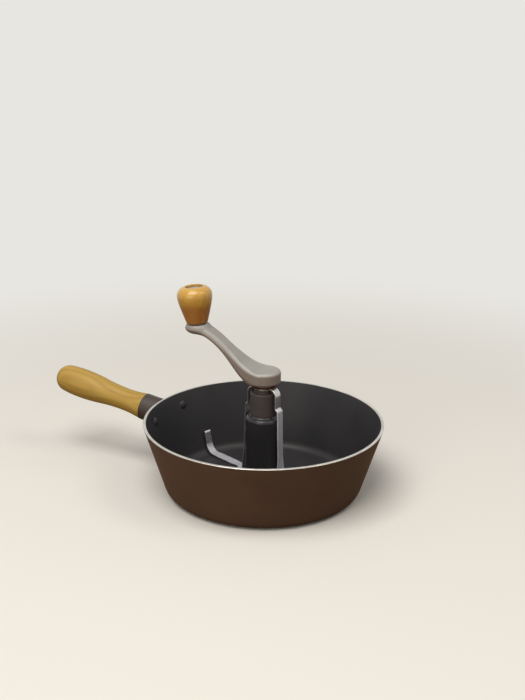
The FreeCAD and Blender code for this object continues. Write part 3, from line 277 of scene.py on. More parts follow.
def turned(line, around, origin=(0, 0, 0), axis=(0, 0, 1)):
    """Rings of a turned part: each (radius, height) of the line goes round an axis through origin.

    A ring's point is origin + axis * height + (u cos t + v sin t) * radius, with u and v square to the
    axis."""
    axis = np.asarray(axis, float) / np.linalg.norm(axis)
    u = np.cross(axis, (0, 1, 0) if abs(axis[1]) < 0.9 else (1, 0, 0))
    u = u / np.linalg.norm(u)
    v = np.cross(axis, u)
    turns = np.linspace(0, 2 * np.pi, around, endpoint=False)
    spokes = u * np.cos(turns)[:, None] + v * np.sin(turns)[:, None]
    radius, height = line.T
    return np.asarray(origin) + height[:, None, None] * axis + radius[:, None, None] * spokes


def spun(points, angle):
    """Points turned about the post's axis: (x cos a - y sin a, x sin a + y cos a, z)."""
    turn = np.array([[math.cos(angle), -math.sin(angle), 0], [math.sin(angle), math.cos(angle), 0], [0, 0, 1]])
    return points @ turn.T


# %% [markdown]
# ## Stage and light
# On the crank and the knob, painted shade adds to this: what turns away from the lamp is also painted darker.
# The roaster stands on a plain pale floor. The photograph's light comes from a broad soft source high over
# the pan, a little to the left of the camera: tops are bright, the sides about half as bright, and what
# leans down is darker and browner still. A soft lamp up there gives that, with a weak even sky and two weak
# cards, one low for the pan's front and one on the right for the blade. A panorama of a studio could light
# it too, but three lamps are easier to read and to move.
#
# The floor is one wide disc that reaches past the horizon. Far from the roaster it fades to the plain
# background colour for the camera and for reflections, so that there is no horizon line. Near the roaster it
# is lit, and keeps the shadow. The light that it sends back up is dim and warm: a floor that throws back all
# it shows would fill the undersides, which the photograph keeps dark.

# %% Floor
FLOOR_RADIUS, FLOOR_STEPS = 20.0, 96
FLOOR_LEVEL = -0.0001  # a hair below the pan's base, so that two faces never lie in one plane
floor_turns = np.linspace(0, 2 * np.pi, FLOOR_STEPS, endpoint=False)
floor_points = np.stack([np.cos(floor_turns), np.sin(floor_turns), np.zeros(FLOOR_STEPS)], 1) * FLOOR_RADIUS
floor_points[:, 2] = FLOOR_LEVEL
floor_mesh = bpy.data.meshes.new("floor")
floor_mesh.from_pydata(floor_points.tolist(), [], [list(range(FLOOR_STEPS))])
floor = bpy.data.objects.new("floor", floor_mesh)
bpy.context.collection.objects.link(floor)
print("floor:", 2 * FLOOR_RADIUS, "m across")

# %% Floor finish
PALE, FLOOR_TONE, BOUNCE_TONE = colour("#e8e6e0"), colour("#e2dfd8"), colour("#836c54")
FADE_START, FADE_END = 0.30, 0.90  # metres from the post


def seen_directly(tree):
    """1 for what the camera sees, also in a reflection or through something clear, and 0 for light."""
    path = add(tree, "LightPath").outputs
    seen = add(tree, "Math", {"operation": "MAXIMUM"}, {0: path["Is Camera Ray"], 1: path["Is Glossy Ray"]})
    return add(tree, "Math", {"operation": "MAXIMUM"},
               {0: seen.outputs[0], 1: path["Is Transmission Ray"]}).outputs[0]


# Matt paper gives the eye no highlight of its own, only the roaster's shadow.
paper, tree, shader, places = new_finish("matt_paper", Roughness=0.9, Specular_IOR_Level=0.2)
to_camera = add(tree, "LightPath").outputs["Is Camera Ray"]
shown = add(tree, "MixRGB", {"Color1": BOUNCE_TONE, "Color2": FLOOR_TONE}, {"Fac": to_camera}).outputs[0]
tree.links.new(shown, shader.inputs["Base Color"])
away = add(tree, "VectorMath", {"operation": "LENGTH"}, {0: places}).outputs["Value"]
faded = soft_step(tree, away, FADE_START, FADE_END)
share = add(tree, "Math", {"operation": "MULTIPLY"}, {0: faded, 1: seen_directly(tree)}).outputs[0]
plain = add(tree, "Emission", {"Color": PALE, "Strength": 1.0}).outputs[0]
both = add(tree, "MixShader", links={"Fac": share, 1: shader.outputs[0], 2: plain}).outputs[0]
tree.links.new(both, tree.nodes["Material Output"].inputs["Surface"])
floor_mesh.materials.append(paper)
print("floor fades out from", FADE_START, "to", FADE_END, "m")

# %% Light
SKY_TONE, SKY_STRENGTH = colour("#f2f4f8"), 0.28
PAN_MIDDLE = Vector((0, 0, 0.08))

world = bpy.data.worlds.new("daylight")
bpy.context.scene.world = world
world.use_nodes = True
sky = world.node_tree
sky.nodes.clear()
lit = add(sky, "Background", {"Color": SKY_TONE, "Strength": SKY_STRENGTH})
plain = add(sky, "Background", {"Color": PALE, "Strength": 1.0})
mixed = add(sky, "MixShader", links={"Fac": seen_directly(sky), 1: lit.outputs[0], 2: plain.outputs[0]})
add(sky, "OutputWorld", links={"Surface": mixed.outputs[0]})


def soft_lamp(name, place, size, power, code):
    """A square lamp that faces the middle of the pan, with its size in metres and its power in watts."""
    light = bpy.data.lights.new(name, "AREA")
    light.size = size
    light.energy = power
    light.color = colour(code)[:3]
    lamp = bpy.data.objects.new(name, light)
    bpy.context.collection.objects.link(lamp)
    lamp.location = place
    lamp.rotation_euler = (PAN_MIDDLE - Vector(place)).to_track_quat("-Z", "Y").to_euler()
    print(f"{name}: {power} W from {size} m across")


soft_lamp("overhead_softbox", (-0.08, -1.05, 2.40), 1.80, 55, "#fffbf6")
soft_lamp("front_card", (-0.10, -1.65, 0.60), 0.9, 6, "#fff4e6")
soft_lamp("right_card", (1.40, 0.15, 1.95), 0.9, 9, "#fff6e8")

# %% [markdown]
# ## Finish: sprayed coatings
# Inside, the pan has a sprayed and baked fluoropolymer coating over cast aluminium. Its refractive index is
# only 1.35, so it is nearly black, satin, and a little cold where it catches the light, with the faint
# pebble of a sprayed film. Outside, it is a brownish-black silicone enamel, and part of its warm tone is
# painted reflection: the glow of a warm wooden table mirrored in the wall, painted into its colour. One plain
# dark colour would do from afar, but near by the film would look like plastic, so slow noise clouds its tone
# and fine noise pebbles it.


# %% Coatings
CLOUD_SIZE = 45  # mm


def coating(name, dark, light, roughness, pebble, depth, ior):
    """A sprayed film: tone in broad clouds, and pebbles of the given size and depth in mm as bump.

    The tone follows cloud + 0.35 * pebble."""
    finish, tree, shader, places = new_finish(name, IOR=ior)
    cloud = noise(tree, places, size=CLOUD_SIZE, detail=3.0)
    fleck = noise(tree, places, size=pebble, detail=2.0)
    tone = blend_colours(tree, weighted(tree, fleck, 0.35, cloud), ((0.45, dark), (0.85, light)))
    dress(tree, shader, tone, ranged(tree, cloud, roughness - 0.03, roughness + 0.03), fleck,
          strength=0.35, depth=depth)
    return finish


# The non-stick film is satin: it spreads the lamp into one dim cold patch on floor and wall. Its pebble is
# about 0.6 mm across, drawn at 0.8 mm so that it shows.
nonstick = coating("sprayed_nonstick_coating", "#2c2b2d", "#333234",
                   roughness=0.40, pebble=0.8, depth=0.05, ior=1.35)
# The post's coat is the same film, sprayed on a turned face, so it lies smoother and its shoulder shines.
post_coat = coating("sprayed_coating_on_turned_post", "#2a292b", "#313033",
                    roughness=0.24, pebble=0.9, depth=0.02, ior=1.35)
# The enamel outside is browner and nearly matt: it shows the wall's roundness as a slow fade, not a shine.
# Part of its warm tone is painted reflection, the glow of a warm floor painted into its colour.
enamel = coating("baked_enamel_with_painted_warm_reflection", "#533f33", "#5b4639",
                 roughness=0.50, pebble=0.9, depth=0.06, ior=1.40)
# The rivets' inner heads were coated with the pan, but their domes are smoother and catch small glints.
coated_rivets = coating("coated_rivet_heads", "#2b2a2c", "#39383a",
                        roughness=0.30, pebble=0.8, depth=0.03, ior=1.35)
print("coatings:", ", ".join(finish.name for finish in (nonstick, post_coat, enamel, coated_rivets)))

# %% [markdown]
# ## Finish: machined, cast and rolled metals
# Metals differ in what their surface does to a highlight. A lathe leaves fine rings, casting leaves a grain
# of sand size, and use leaves a haze of scratches on a strip. One grey metal with three roughnesses would
# look alike everywhere, so each way of making is one function, and a piece gives its colour and the size of
# its marks.


# %% Metal off a lathe
def turned_metal(name, dark, light, roughness, groove):
    """Metal off a lathe: rings of the given width in mm round the post's axis, as roughness and bump.

    The rings are noise at (distance from the axis, height), so they run all the way round."""
    finish, tree, shader, places = new_finish(name, Metallic=1.0)
    parts = add(tree, "SeparateXYZ", links={0: places}).outputs
    flat = add(tree, "CombineXYZ", links={0: parts[0], 1: parts[1]}).outputs[0]
    radius = add(tree, "VectorMath", {"operation": "LENGTH"}, {0: flat}).outputs["Value"]
    ring = add(tree, "CombineXYZ", links={0: radius, 1: parts[2]}).outputs[0]
    marks = noise(tree, ring, size=groove, detail=2.0)
    tone = blend_colours(tree, noise(tree, places, size=14, detail=2.0), ((0.3, dark), (0.7, light)))
    dress(tree, shader, tone, ranged(tree, marks, roughness - 0.07, roughness + 0.1), marks,
          strength=0.25, depth=0.02)
    return finish


# The rim's top was machined after coating: a bright bare ring that draws the pan's outline.
bare_rim = turned_metal("machined_aluminium", "#c4c2bf", "#dedcd8", roughness=0.34, groove=0.5)
# The copper washer has tarnished, so it is only a thin warm line between two greys.
copper = turned_metal("tarnished_copper", "#5f3b28", "#784a31", roughness=0.42, groove=0.4)
# Zinc on the spindle and the screws is cool and clean, with a sharper shine than any casting.
bright_steel = turned_metal("zinc_plated_steel", "#b2b3b4", "#c9cacb", roughness=0.36, groove=0.3)
print("turned metals:", ", ".join(finish.name for finish in (bare_rim, copper, bright_steel)))


# %% Cast metal
def cast_metal(name, dark, light, roughness, grain, depth, metallic=1.0, painted_shade=None):
    """Cast metal: soft clouds of tone, and a grain of the given size and depth in mm as bump.

    Where a shade colour is given, it is painted shade: faces that don't look up are painted that darker
    colour, as if turned away from the light above, and tops keep the brighter tone. The share of the bright
    tone is a soft step of the normal's upward part."""
    finish, tree, shader, places = new_finish(name, Metallic=metallic)
    sand = noise(tree, places, size=grain, detail=3.0, roughness=0.6)
    tone = blend_colours(tree, noise(tree, places, size=11, detail=4.0), ((0.3, dark), (0.7, light)))
    # Painted shade: faces that turn away from the light above take the darker colour.
    if painted_shade:
        normal = tree.nodes["Texture Coordinate"].outputs["Normal"]
        upward = add(tree, "SeparateXYZ", links={0: normal}).outputs[2]
        lit_share = soft_step(tree, upward, -0.1, 0.75)
        tone = add(tree, "MixRGB", {"Color1": colour(painted_shade)}, {"Fac": lit_share, "Color2": tone}).outputs[0]
    dress(tree, shader, tone, ranged(tree, sand, roughness - 0.1, roughness + 0.14), sand,
          strength=0.4, depth=depth)
    return finish


# Tumbling leaves the crank grey and soft, with broad highlights that show its form more than its metal.
# Its sides and underside are painted a darker, warmer grey as painted shade, as if turned from the light
# above.
tumbled_aluminium = cast_metal("tumbled_cast_aluminium", "#969490", "#a09e99", roughness=0.54, grain=0.8,
                               depth=0.05, metallic=0.3, painted_shade="#8a7e74")
# The bushes are sintered bronze: a dull yellow-brown, open-grained, seen only when the stirrer is lifted.
bearing_bronze = cast_metal("sintered_bronze", "#86642f", "#a17c40", roughness=0.45, grain=0.35, depth=0.03)
# The sleeve is phosphated: a grey-brown crystal skin on steel, matt like a mineral and not mirror-like.
sleeve_steel = cast_metal("phosphated_steel", "#3b3330", "#4b423f", roughness=0.45, grain=0.5, depth=0.02,
                          metallic=0.0)
# The bracket's paint lies over a rough casting, so its dark brown is broken by small dull lights.
bracket_paint = cast_metal("painted_cast_bracket", "#322823", "#3e332d", roughness=0.52, grain=0.8, depth=0.05,
                           metallic=0.0)
print("cast metals:", ", ".join(finish.name for finish in
                                (tumbled_aluminium, bearing_bronze, sleeve_steel, bracket_paint)))

# %% Strip steel
POLISH_FADE = 4  # mm over which the strip goes from dull to bright
DULL_METALLIC, BRIGHT_METALLIC, DULL_ROUGHNESS = 0.4, 0.85, 0.46


def scoured_strip(name, polished_from, polish):
    """Rolled steel strip, bright above a height in mm and dulled below it by long use.

    polish is the bright part's roughness. The dull part scatters: half of its light comes from a grey haze
    of fine scratches in all directions, so it is less metallic to the shader."""
    finish, tree, shader, places = new_finish(name)
    height = add(tree, "SeparateXYZ", links={0: places}).outputs[2]
    bright = soft_step(tree, height, (polished_from - POLISH_FADE) * MM, polished_from * MM)
    scratches = noise(tree, places, size=0.8, detail=3.0)
    cloud = noise(tree, places, size=9, detail=3.0)
    dull_tone = blend_colours(tree, cloud, ((0.3, "#b8b8c0"), (0.7, "#c9c9d0")))
    tone = add(tree, "MixRGB", {"Color2": colour("#cdcdd0")}, {"Fac": bright, "Color1": dull_tone}).outputs[0]
    tree.links.new(ranged(tree, bright, DULL_METALLIC, BRIGHT_METALLIC), shader.inputs["Metallic"])
    roughness = weighted(tree, scratches, 0.12, ranged(tree, bright, DULL_ROUGHNESS, polish))
    dress(tree, shader, tone, roughness, scratches, strength=0.3, depth=0.01)
    return finish


# The front blade looks dull all the way up to its step in the photograph, and pale grey more than shiny.
front_strip = scoured_strip("stainless_strip_dulled_below_hub", polished_from=92.0, polish=0.22)
# The rear blade is dull only at its foot. The rest mirrors the dark wall, with one bright upper edge.
rear_strip = scoured_strip("stainless_strip_dulled_at_foot", polished_from=17.0, polish=0.10)
print("strips:", front_strip.name, "and", rear_strip.name)

# %% [markdown]
# ## Finish: wood
# Handle and knob are turned from a pale close-grained hardwood such as beech. Growth rings run nearly along
# the handle, so they show as long soft lines that part and close where the turning cuts through them. Short
# dark flecks follow the same way. A picture of a board would have to be wrapped round each piece and would
# stretch, so the wood fills space and the turned shape cuts through it, as the lathe did.

# %% Wood
PITH_ASIDE = Vector((0, 0.026, 0.009))  # metres from the turning axis to the middle of the growth rings
ALONG_GRAIN, ALONG_FLECKS = (0.1, 1, 1), (0.33, 1, 1)
RING_SWAY = (0.006, 0.006, 0.006)
WAVE_BAND = math.tau / 20  # a wave texture of scale 1 repeats after this length


def wood(name, origin, axis, tones, ring, contrast, coat, roughness, painted_shade_span=None):
    """Turned wood: growth rings of a width in mm, and fine flecks along the grain.

    The first Mapping turns the grain to X, and the second squeezes it to a tenth that way. Rings are
    cylinders round a pith 26 mm beside the axis, bent by slow noise. Flecks are fine noise stretched thirty
    times along the grain. The tone follows patches + contrast * rings + 0.25 * flecks. The last argument gives
    the stretch in mm from the origin over which a darker, warmer tone fades out along the grain: painted shade
    over the lower part, as if it were turned away from the light."""
    finish, tree, shader, places = new_finish(name, IOR=1.5, Coat_Weight=coat, Coat_Roughness=0.06,
                                              Coat_IOR=1.5, Specular_IOR_Level=0.35)
    turn = Vector(axis).normalized().to_track_quat("X", "Z").inverted().to_euler()
    offset = turn.to_matrix() @ (Vector(origin) * -MM) + PITH_ASIDE
    straight = add(tree, "Mapping", {"Location": offset, "Rotation": turn}, {"Vector": places}).outputs[0]
    grain = add(tree, "Mapping", {"Scale": ALONG_GRAIN}, {"Vector": straight}).outputs[0]
    sway = noise(tree, grain, size=22, detail=2.0, output="Color")
    bent = add(tree, "VectorMath", {"operation": "MULTIPLY_ADD", 1: RING_SWAY}, {0: sway, 2: grain}).outputs[0]
    rings = add(tree, "TexWave", {"wave_type": "RINGS", "rings_direction": "X", "Distortion": 1.2,
                                  "Scale": WAVE_BAND / (ring * MM), "Detail": 2.0, "Detail Scale": 1.5},
                {"Vector": bent}).outputs["Fac"]
    fleck_ways = add(tree, "Mapping", {"Scale": ALONG_FLECKS}, {"Vector": grain}).outputs[0]
    flecks = noise(tree, fleck_ways, size=0.7, detail=3.0, roughness=0.6)
    patches = noise(tree, grain, size=16, detail=2.0)
    mixed = weighted(tree, flecks, 0.25, weighted(tree, rings, contrast, patches))
    tone = blend_colours(tree, mixed, ((0.4, tones[0]), (0.7, tones[1]), (0.95, tones[2])))
    # Painted shade: below the belly the tone is multiplied darker and warmer, as if in shade.
    if painted_shade_span:
        way = weighted(tree, patches, 14 * MM, add(tree, "SeparateXYZ", links={0: straight}).outputs[0])
        brown = soft_step(tree, way, painted_shade_span[0] * MM, painted_shade_span[1] * MM, low=1.0, high=0.0)
        tone = add(tree, "MixRGB", {"blend_type": "MULTIPLY", "Color2": colour("#e0c4dc")},
                   {"Fac": brown, "Color1": tone}).outputs[0]
    dress(tree, shader, tone, ranged(tree, flecks, roughness - 0.08, roughness + 0.1), flecks,
          strength=0.3, depth=0.04)
    return finish


# %% Handle and knob: their places and their wood
HANDLE_JOINT = np.array([-140.8, 0.0, 62.9])
HANDLE_TILT = math.radians(9.0)
HANDLE_AXIS = np.array([-math.cos(HANDLE_TILT), 0.0, math.sin(HANDLE_TILT)])
CRANK_TURN, CRANK_THROW = math.radians(186.5), 71.5
KNOB_SEAT, KNOB_LEAN = 167.4, math.radians(5.5)
crank_way = np.array([math.cos(CRANK_TURN), math.sin(CRANK_TURN), 0.0])
KNOB_FOOT = crank_way * CRANK_THROW + np.array([0, 0, KNOB_SEAT])
KNOB_AXIS = crank_way * math.sin(KNOB_LEAN) + np.array([0, 0, math.cos(KNOB_LEAN)])
print("knob stands at", np.round(KNOB_FOOT, 1), "mm")

# The handle is only sealed: it stays satin, and its rings show as soft light and dark.
handle_beech = wood("sealed_beech", HANDLE_JOINT, HANDLE_AXIS, ("#ba9c4e", "#b08f42", "#9e7a34"),
                    ring=3.2, contrast=0.20, coat=0.0, roughness=0.50)
# The knob has a honey varnish: a small clear highlight over an even tone. Below the belly it is painted
# darker and warmer: painted shade, where the side leans away from the light above.
knob_beech = wood("honey_varnished_beech", KNOB_FOOT, KNOB_AXIS, ("#d0a548", "#c4963a", "#ae7f2e"),
                  ring=3.0, contrast=0.10, coat=0.6, roughness=0.34, painted_shade_span=(23.0, 32.0))

# %% [markdown]
# ## The pan
# The bowl is turned about the post's axis: along the underside, up the leaning wall, over the rim, down
# inside and across the floor to a countersunk hole, so its outline is closed and the turned shape is a ring.
# The corners have the roundings of the casting. The finishes could be painted on with a mask, but each band
# of faces knows its place on the outline, so that tells whether it is coated, enamelled or bare.

# %% Pan casting
RIM_RADIUS, RIM_HEIGHT, WALL_LEAN = 121.0, 73.5, math.radians(17.6)
PAN_WALL, PAN_FLOOR = 3.0, 4.0
HOLE_RADIUS, HOLE_MOUTH = 3.2, 6.47
FOOT_ROUND, RIM_ROUND, BOWL_ROUND = 12.6, 0.5, 10.0
BARE_BAND, INNER_EDGE = 1.3, 0.3
PAN_AROUND, PAN_STEP = 288, 2.5
COATED, ENAMELLED, BARE = range(3)

wall_across = PAN_WALL / math.cos(WALL_LEAN)
foot_radius = RIM_RADIUS - RIM_HEIGHT * math.tan(WALL_LEAN)
bowl_corner = foot_radius + PAN_FLOOR * math.tan(WALL_LEAN) - wall_across
pan_line = rounded(
    [(HOLE_MOUTH, 0), (foot_radius, 0), (RIM_RADIUS, RIM_HEIGHT), (RIM_RADIUS - wall_across, RIM_HEIGHT),
     (bowl_corner, PAN_FLOOR), (HOLE_RADIUS, PAN_FLOOR), (HOLE_RADIUS, HOLE_MOUTH - HOLE_RADIUS)],
    (0, FOOT_ROUND, RIM_ROUND, RIM_ROUND, BOWL_ROUND, 0, 0))
pan_line = divided(pan_line, PAN_STEP, closed=True)
band_middle = (pan_line + np.roll(pan_line, -1, 0)) / 2
over_rim = band_middle[:, 1] > RIM_HEIGHT - BARE_BAND
inner_edge = band_middle[:, 0] < RIM_RADIUS - wall_across + INNER_EDGE
past_rim = np.arange(len(band_middle)) > np.argmax(pan_line[:, 1])
pan_marks = np.where(over_rim & ~inner_edge, BARE, np.where(past_rim, COATED, ENAMELLED))
piece("pan_casting", [shell(turned(pan_line, PAN_AROUND), loop=True, mark=pan_marks)],
      [nonstick, enamel, bare_rim], "pan", ["pan_bowl"])

# %% [markdown]
# ## The centre post
# The post is a stout coated casting that stands on the bowl's floor and is screwed down from below. It
# spreads into a hollow curve at its foot and has a round shoulder at its top, where the light draws a bright
# ring. A cylinder with bevels would give neither curve its own radius, so one line turned round the axis
# makes it, with the screw's hole below and the spindle's bore above.

# %% Centre post
POST_RADIUS, POST_HEIGHT, POST_DRAFT = 18.0, 79.2, math.radians(0.5)
POST_ROOT, POST_SHOULDER, FOOT_EDGE, COLLAR_EDGE = 3.0, 4.0, 0.5, 0.2
THREAD_RADIUS, THREAD_END = 3.02, 23.0
BORE_RADIUS, BORE_FLOOR, COLLAR_RADIUS, COLLAR_FLOOR = 5.02, 30.2, 8.02, 76.2
POST_AROUND, POST_STEP = 160, 2.0

post_foot = POST_RADIUS + (POST_HEIGHT - PAN_FLOOR - FOOT_EDGE) * math.tan(POST_DRAFT)
post_edge = post_foot + POST_ROOT + HAIR
post_line = rounded(
    [(POLE_RING, THREAD_END), (THREAD_RADIUS, THREAD_END), (THREAD_RADIUS, PAN_FLOOR),
     (post_edge, PAN_FLOOR), (post_edge, PAN_FLOOR + FOOT_EDGE), (post_foot, PAN_FLOOR + FOOT_EDGE),
     (POST_RADIUS, POST_HEIGHT), (COLLAR_RADIUS, POST_HEIGHT), (COLLAR_RADIUS, COLLAR_FLOOR),
     (BORE_RADIUS, COLLAR_FLOOR), (BORE_RADIUS, BORE_FLOOR), (POLE_RING, BORE_FLOOR)],
    (0, 0, 0, 0, 0, POST_ROOT, POST_SHOULDER, COLLAR_EDGE, 0, 0, 0, 0))
post_rings = turned(divided(post_line, POST_STEP), POST_AROUND)
piece("post_casting", [shell(post_rings, (0, 0, THREAD_END), (0, 0, BORE_FLOOR))],
      [post_coat], "pan", ["centre_post"])

# %% [markdown]
# ## The handle
# The handle is turned: a waist behind the joint, a long swelling for the palm and a round butt. Its outline
# could be a drawn curve, but a turner's line is a chain of arcs that touch each other, so the radius is
# worked out arc by arc along the axis.


# %% Handle outline
def arc_drop(run, rise, at):
    """How far an arc has left its starting direction after a length at, if it leaves by rise over run.

    Its radius is (run^2 + rise^2) / (2 rise), and the drop is radius - sqrt(radius^2 - at^2)."""
    radius = (run ** 2 + rise ** 2) / (2 * rise)
    return radius - np.sqrt(radius ** 2 - at ** 2)


TENON_RADIUS, TENON_LENGTH, JOINT_EDGE = 9.5, 11.5, 0.5
JOINT_RADIUS, WAIST_RADIUS, PALM_RADIUS, BUTT_RADIUS = 14.1, 11.8, 15.5, 14.2
WAIST_PLACE, PALM_PLACE, HANDLE_LENGTH, BUTT_LENGTH = 24.2, 80.2, 111.2, 12.0
BUTT_TIP = 0.02  # radians from the axis, where the outline ends and the pole takes over
half_sway = (PALM_PLACE - WAIST_PLACE) / 2
half_swell = (PALM_RADIUS - WAIST_RADIUS) / 2
taper_end = HANDLE_LENGTH - BUTT_LENGTH
neck = np.linspace(0, WAIST_PLACE, 18, endpoint=False)
sway = np.linspace(WAIST_PLACE, PALM_PLACE, 40, endpoint=False)
taper = np.linspace(PALM_PLACE, taper_end, 12, endpoint=False)
butt = np.linspace(math.pi / 2, BUTT_TIP, 26)
neck_radius = WAIST_RADIUS + arc_drop(WAIST_PLACE, JOINT_RADIUS - WAIST_RADIUS, WAIST_PLACE - neck)
swell_out = WAIST_RADIUS + arc_drop(half_sway, half_swell, np.clip(sway - WAIST_PLACE, 0, half_sway))
swell_in = PALM_RADIUS - arc_drop(half_sway, half_swell, np.clip(PALM_PLACE - sway, 0, half_sway))
sway_radius = np.where(sway < WAIST_PLACE + half_sway, swell_out, swell_in)
taper_radius = PALM_RADIUS - arc_drop(taper_end - PALM_PLACE, PALM_RADIUS - BUTT_RADIUS, taper - PALM_PLACE)
butt_radius = BUTT_RADIUS * np.sin(butt)
butt_place = HANDLE_LENGTH - arc_drop(BUTT_RADIUS, BUTT_LENGTH, butt_radius)
print("handle: waist", 2 * WAIST_RADIUS, "mm, palm", 2 * PALM_RADIUS, "mm across")

# %% Turned handle
HANDLE_AROUND, HANDLE_STEP = 120, 2.5
handle_line = np.vstack([
    [(TENON_RADIUS, -TENON_LENGTH), (TENON_RADIUS, -HAIR), (JOINT_RADIUS - JOINT_EDGE, 0)],
    np.stack([neck_radius, neck], 1)[1:],
    np.stack([sway_radius, sway], 1),
    np.stack([taper_radius, taper], 1),
    np.stack([butt_radius, butt_place], 1),
])
handle_rings = turned(divided(handle_line, HANDLE_STEP), HANDLE_AROUND, HANDLE_JOINT, HANDLE_AXIS)
handle_ends = HANDLE_JOINT - HANDLE_AXIS * TENON_LENGTH, HANDLE_JOINT + HANDLE_AXIS * HANDLE_LENGTH
piece("turned_handle", [shell(handle_rings, *handle_ends)], [handle_beech], "pan", ["wooden_handle"])

# %% [markdown]
# ## The knob
# The knob is widest near its top and has a round recess where the head of its pin sits. A scaled sphere
# would be round where this is lean, so the outline is worked out: up the side, over the shoulder, down into
# the recess and back through the bore. It is closed, so the turned shape is a ring with a hole, like a bead.
# The side is nearly straight and bends in softly under the belly: a hyperbola, sqrt(u^2 + c^2) - c of the
# way u below the belly.

# %% Turned knob
KNOB_WASHER = 1.0
KNOB_BOTTOM, KNOB_BELLY, KNOB_MOUTH, KNOB_BORE = 10.6, 17.7, 8.8, 3.25
BELLY_HEIGHT, KNOB_HEIGHT, KNOB_RECESS = 28.1, 37.1, 4.5
BELLY_SOFTNESS, SIDE_START = 6.0, 0.9
# Points of the small round edges at the foot and at the recess's mouth, outwards and upwards in mm.
KNOB_FOOT_EDGE, MOUTH_EDGE = ((-1.0, 0), (-0.3, 0.25)), ((0.35, -0.08), (0, -0.4))
KNOB_AROUND, KNOB_STEP = 128, 1.5

side_height = np.linspace(SIDE_START, BELLY_HEIGHT, 34, endpoint=False)
below_belly = np.hypot(BELLY_HEIGHT - side_height, BELLY_SOFTNESS) - BELLY_SOFTNESS
whole_side = math.hypot(BELLY_HEIGHT, BELLY_SOFTNESS) - BELLY_SOFTNESS
side_radius = KNOB_BELLY - (KNOB_BELLY - KNOB_BOTTOM) * below_belly / whole_side
above_belly = KNOB_HEIGHT - BELLY_HEIGHT
shoulder_height = BELLY_HEIGHT + above_belly * np.sin(np.linspace(0, 1, 26) * math.pi / 2)
shoulder_radius = KNOB_BELLY - arc_drop(above_belly, KNOB_BELLY - KNOB_MOUTH,
                                        np.clip(shoulder_height - BELLY_HEIGHT, 0, above_belly))
knob_line = np.vstack([
    [(KNOB_BORE, 0)],
    np.add((KNOB_BOTTOM, 0), KNOB_FOOT_EDGE),
    np.stack([side_radius, side_height], 1),
    np.stack([shoulder_radius, shoulder_height], 1)[:-1],
    np.add((KNOB_MOUTH, KNOB_HEIGHT), MOUTH_EDGE),
    [(KNOB_MOUTH, KNOB_HEIGHT - KNOB_RECESS), (KNOB_BORE, KNOB_HEIGHT - KNOB_RECESS)],
])
knob_rings = turned(divided(knob_line, KNOB_STEP, closed=True), KNOB_AROUND,
                    KNOB_FOOT + KNOB_AXIS * KNOB_WASHER, KNOB_AXIS)
piece("turned_knob", [shell(knob_rings, loop=True)], [knob_beech], "knob_grip", ["knob"])

# %% [markdown]
# ## The crank
# The crank is cast in one: a round hub, an arm that climbs as an S while it slims, and a leaning seat for
# the knob. One smooth upper face runs over all three, and one round edge goes along its whole outline.
# Separate solids would show seams, and a remeshed union would blur that edge. Here the surface is found
# instead: at every place along the arm, rays go out from the arm's middle in an upright plane, and each is
# halved again and again until it ends where the signed distance to the casting is zero.

# %% Crank sizes
HUB_RADIUS, HUB_BOTTOM, HUB_TOP = 16.8, 114.7, 127.6
HUB_FOOT_EDGE, HUB_TOP_EDGE = 1.7, 3.4
CRANK_RISE = KNOB_SEAT - HUB_TOP
SEAT_RADIUS, SEAT_THICKNESS, SEAT_EDGE, SEAT_TOP_EDGE, SEAT_TAPER = 10.8, 7.6, 4.0, 1.8, 0.12
ARM_SIZES = ((29.6, 15.0), (20.2, 7.8), (21.4, 8.2))  # width and thickness at root, middle and tip
ROOT_SHARE, SLIM_SHARES = 0.15, (0.55, 0.68)  # of the throw: where it starts to slim, where it is slimmest
ARM_START, ARM_CROWN = 2.0, 1.0
LOW_EDGE, HIGH_EDGE = 4.0, 4.8
ROOT_FOOT_EDGE, TIP_FOOT_EDGE, TIP_TAPER = 5.0, 2.8, 0.12
HUB_FILLET, HUB_FILLET_GROWTH, SEAT_FILLET = 0.5, 5.0, 7.0
# Where a size changes: from the first distance to the second, in mm from the hub's or the seat's axis.
CROWN_RUN, FOOT_EDGE_RUN, DEPTH_RUN = (4, 34), (16, 46), (4, 22)
LOW_EDGE_RUN, HIGH_EDGE_RUN, FILLET_RUN, SEAT_RUN = (4, 18), (28, 54), (11, 18), (9.0, 15.0)
SLOPE_STEP = 0.01
print("crank rises", round(CRANK_RISE, 1), "mm over a throw of", CRANK_THROW, "mm")


# %% Crank surface
def eased(share, first, last):
    """Smooth step 3p^2 - 2p^3 as share goes from first to last."""
    part = np.clip((share - first) / (last - first), 0, 1)
    return part * part * (3 - 2 * part)


def arm_top(x):
    """Height of the arm's upper face: 3u^2 - 2u^3 of the rise, with a hump that ends at the seat's lean."""
    u = np.clip(x / CRANK_THROW, 0, 1)
    past = np.clip(x - CRANK_THROW, 0, None) * math.tan(KNOB_LEAN)
    hump = CRANK_THROW * math.tan(KNOB_LEAN) * (u ** 2 - u ** 3)
    return HUB_TOP + CRANK_RISE * (3 * u ** 2 - 2 * u ** 3) + hump - past


def arm_level(x):
    """Cosine of the upper face's slope, which turns an upright distance into one square to the face."""
    return 1 / np.hypot(1, (arm_top(x + SLOPE_STEP) - arm_top(x - SLOPE_STEP)) / (2 * SLOPE_STEP))


def arm_size(x, which):
    """Full width (which 0) or thickness (which 1) of the arm, eased from root to middle to tip."""
    root, middle, tip = (sizes[which] for sizes in ARM_SIZES)
    u, slim = x / CRANK_THROW, SLIM_SHARES[which]
    return root + (middle - root) * eased(u, ROOT_SHARE, slim) + (tip - middle) * eased(u, slim, 1)


def round_corner(first, second, radius):
    """Distance to where two faces meet, both negative inside, with the edge between them rounded."""
    a, b = first + radius, second + radius
    return np.minimum(np.maximum(a, b), 0) + np.hypot(np.maximum(a, 0), np.maximum(b, 0)) - radius


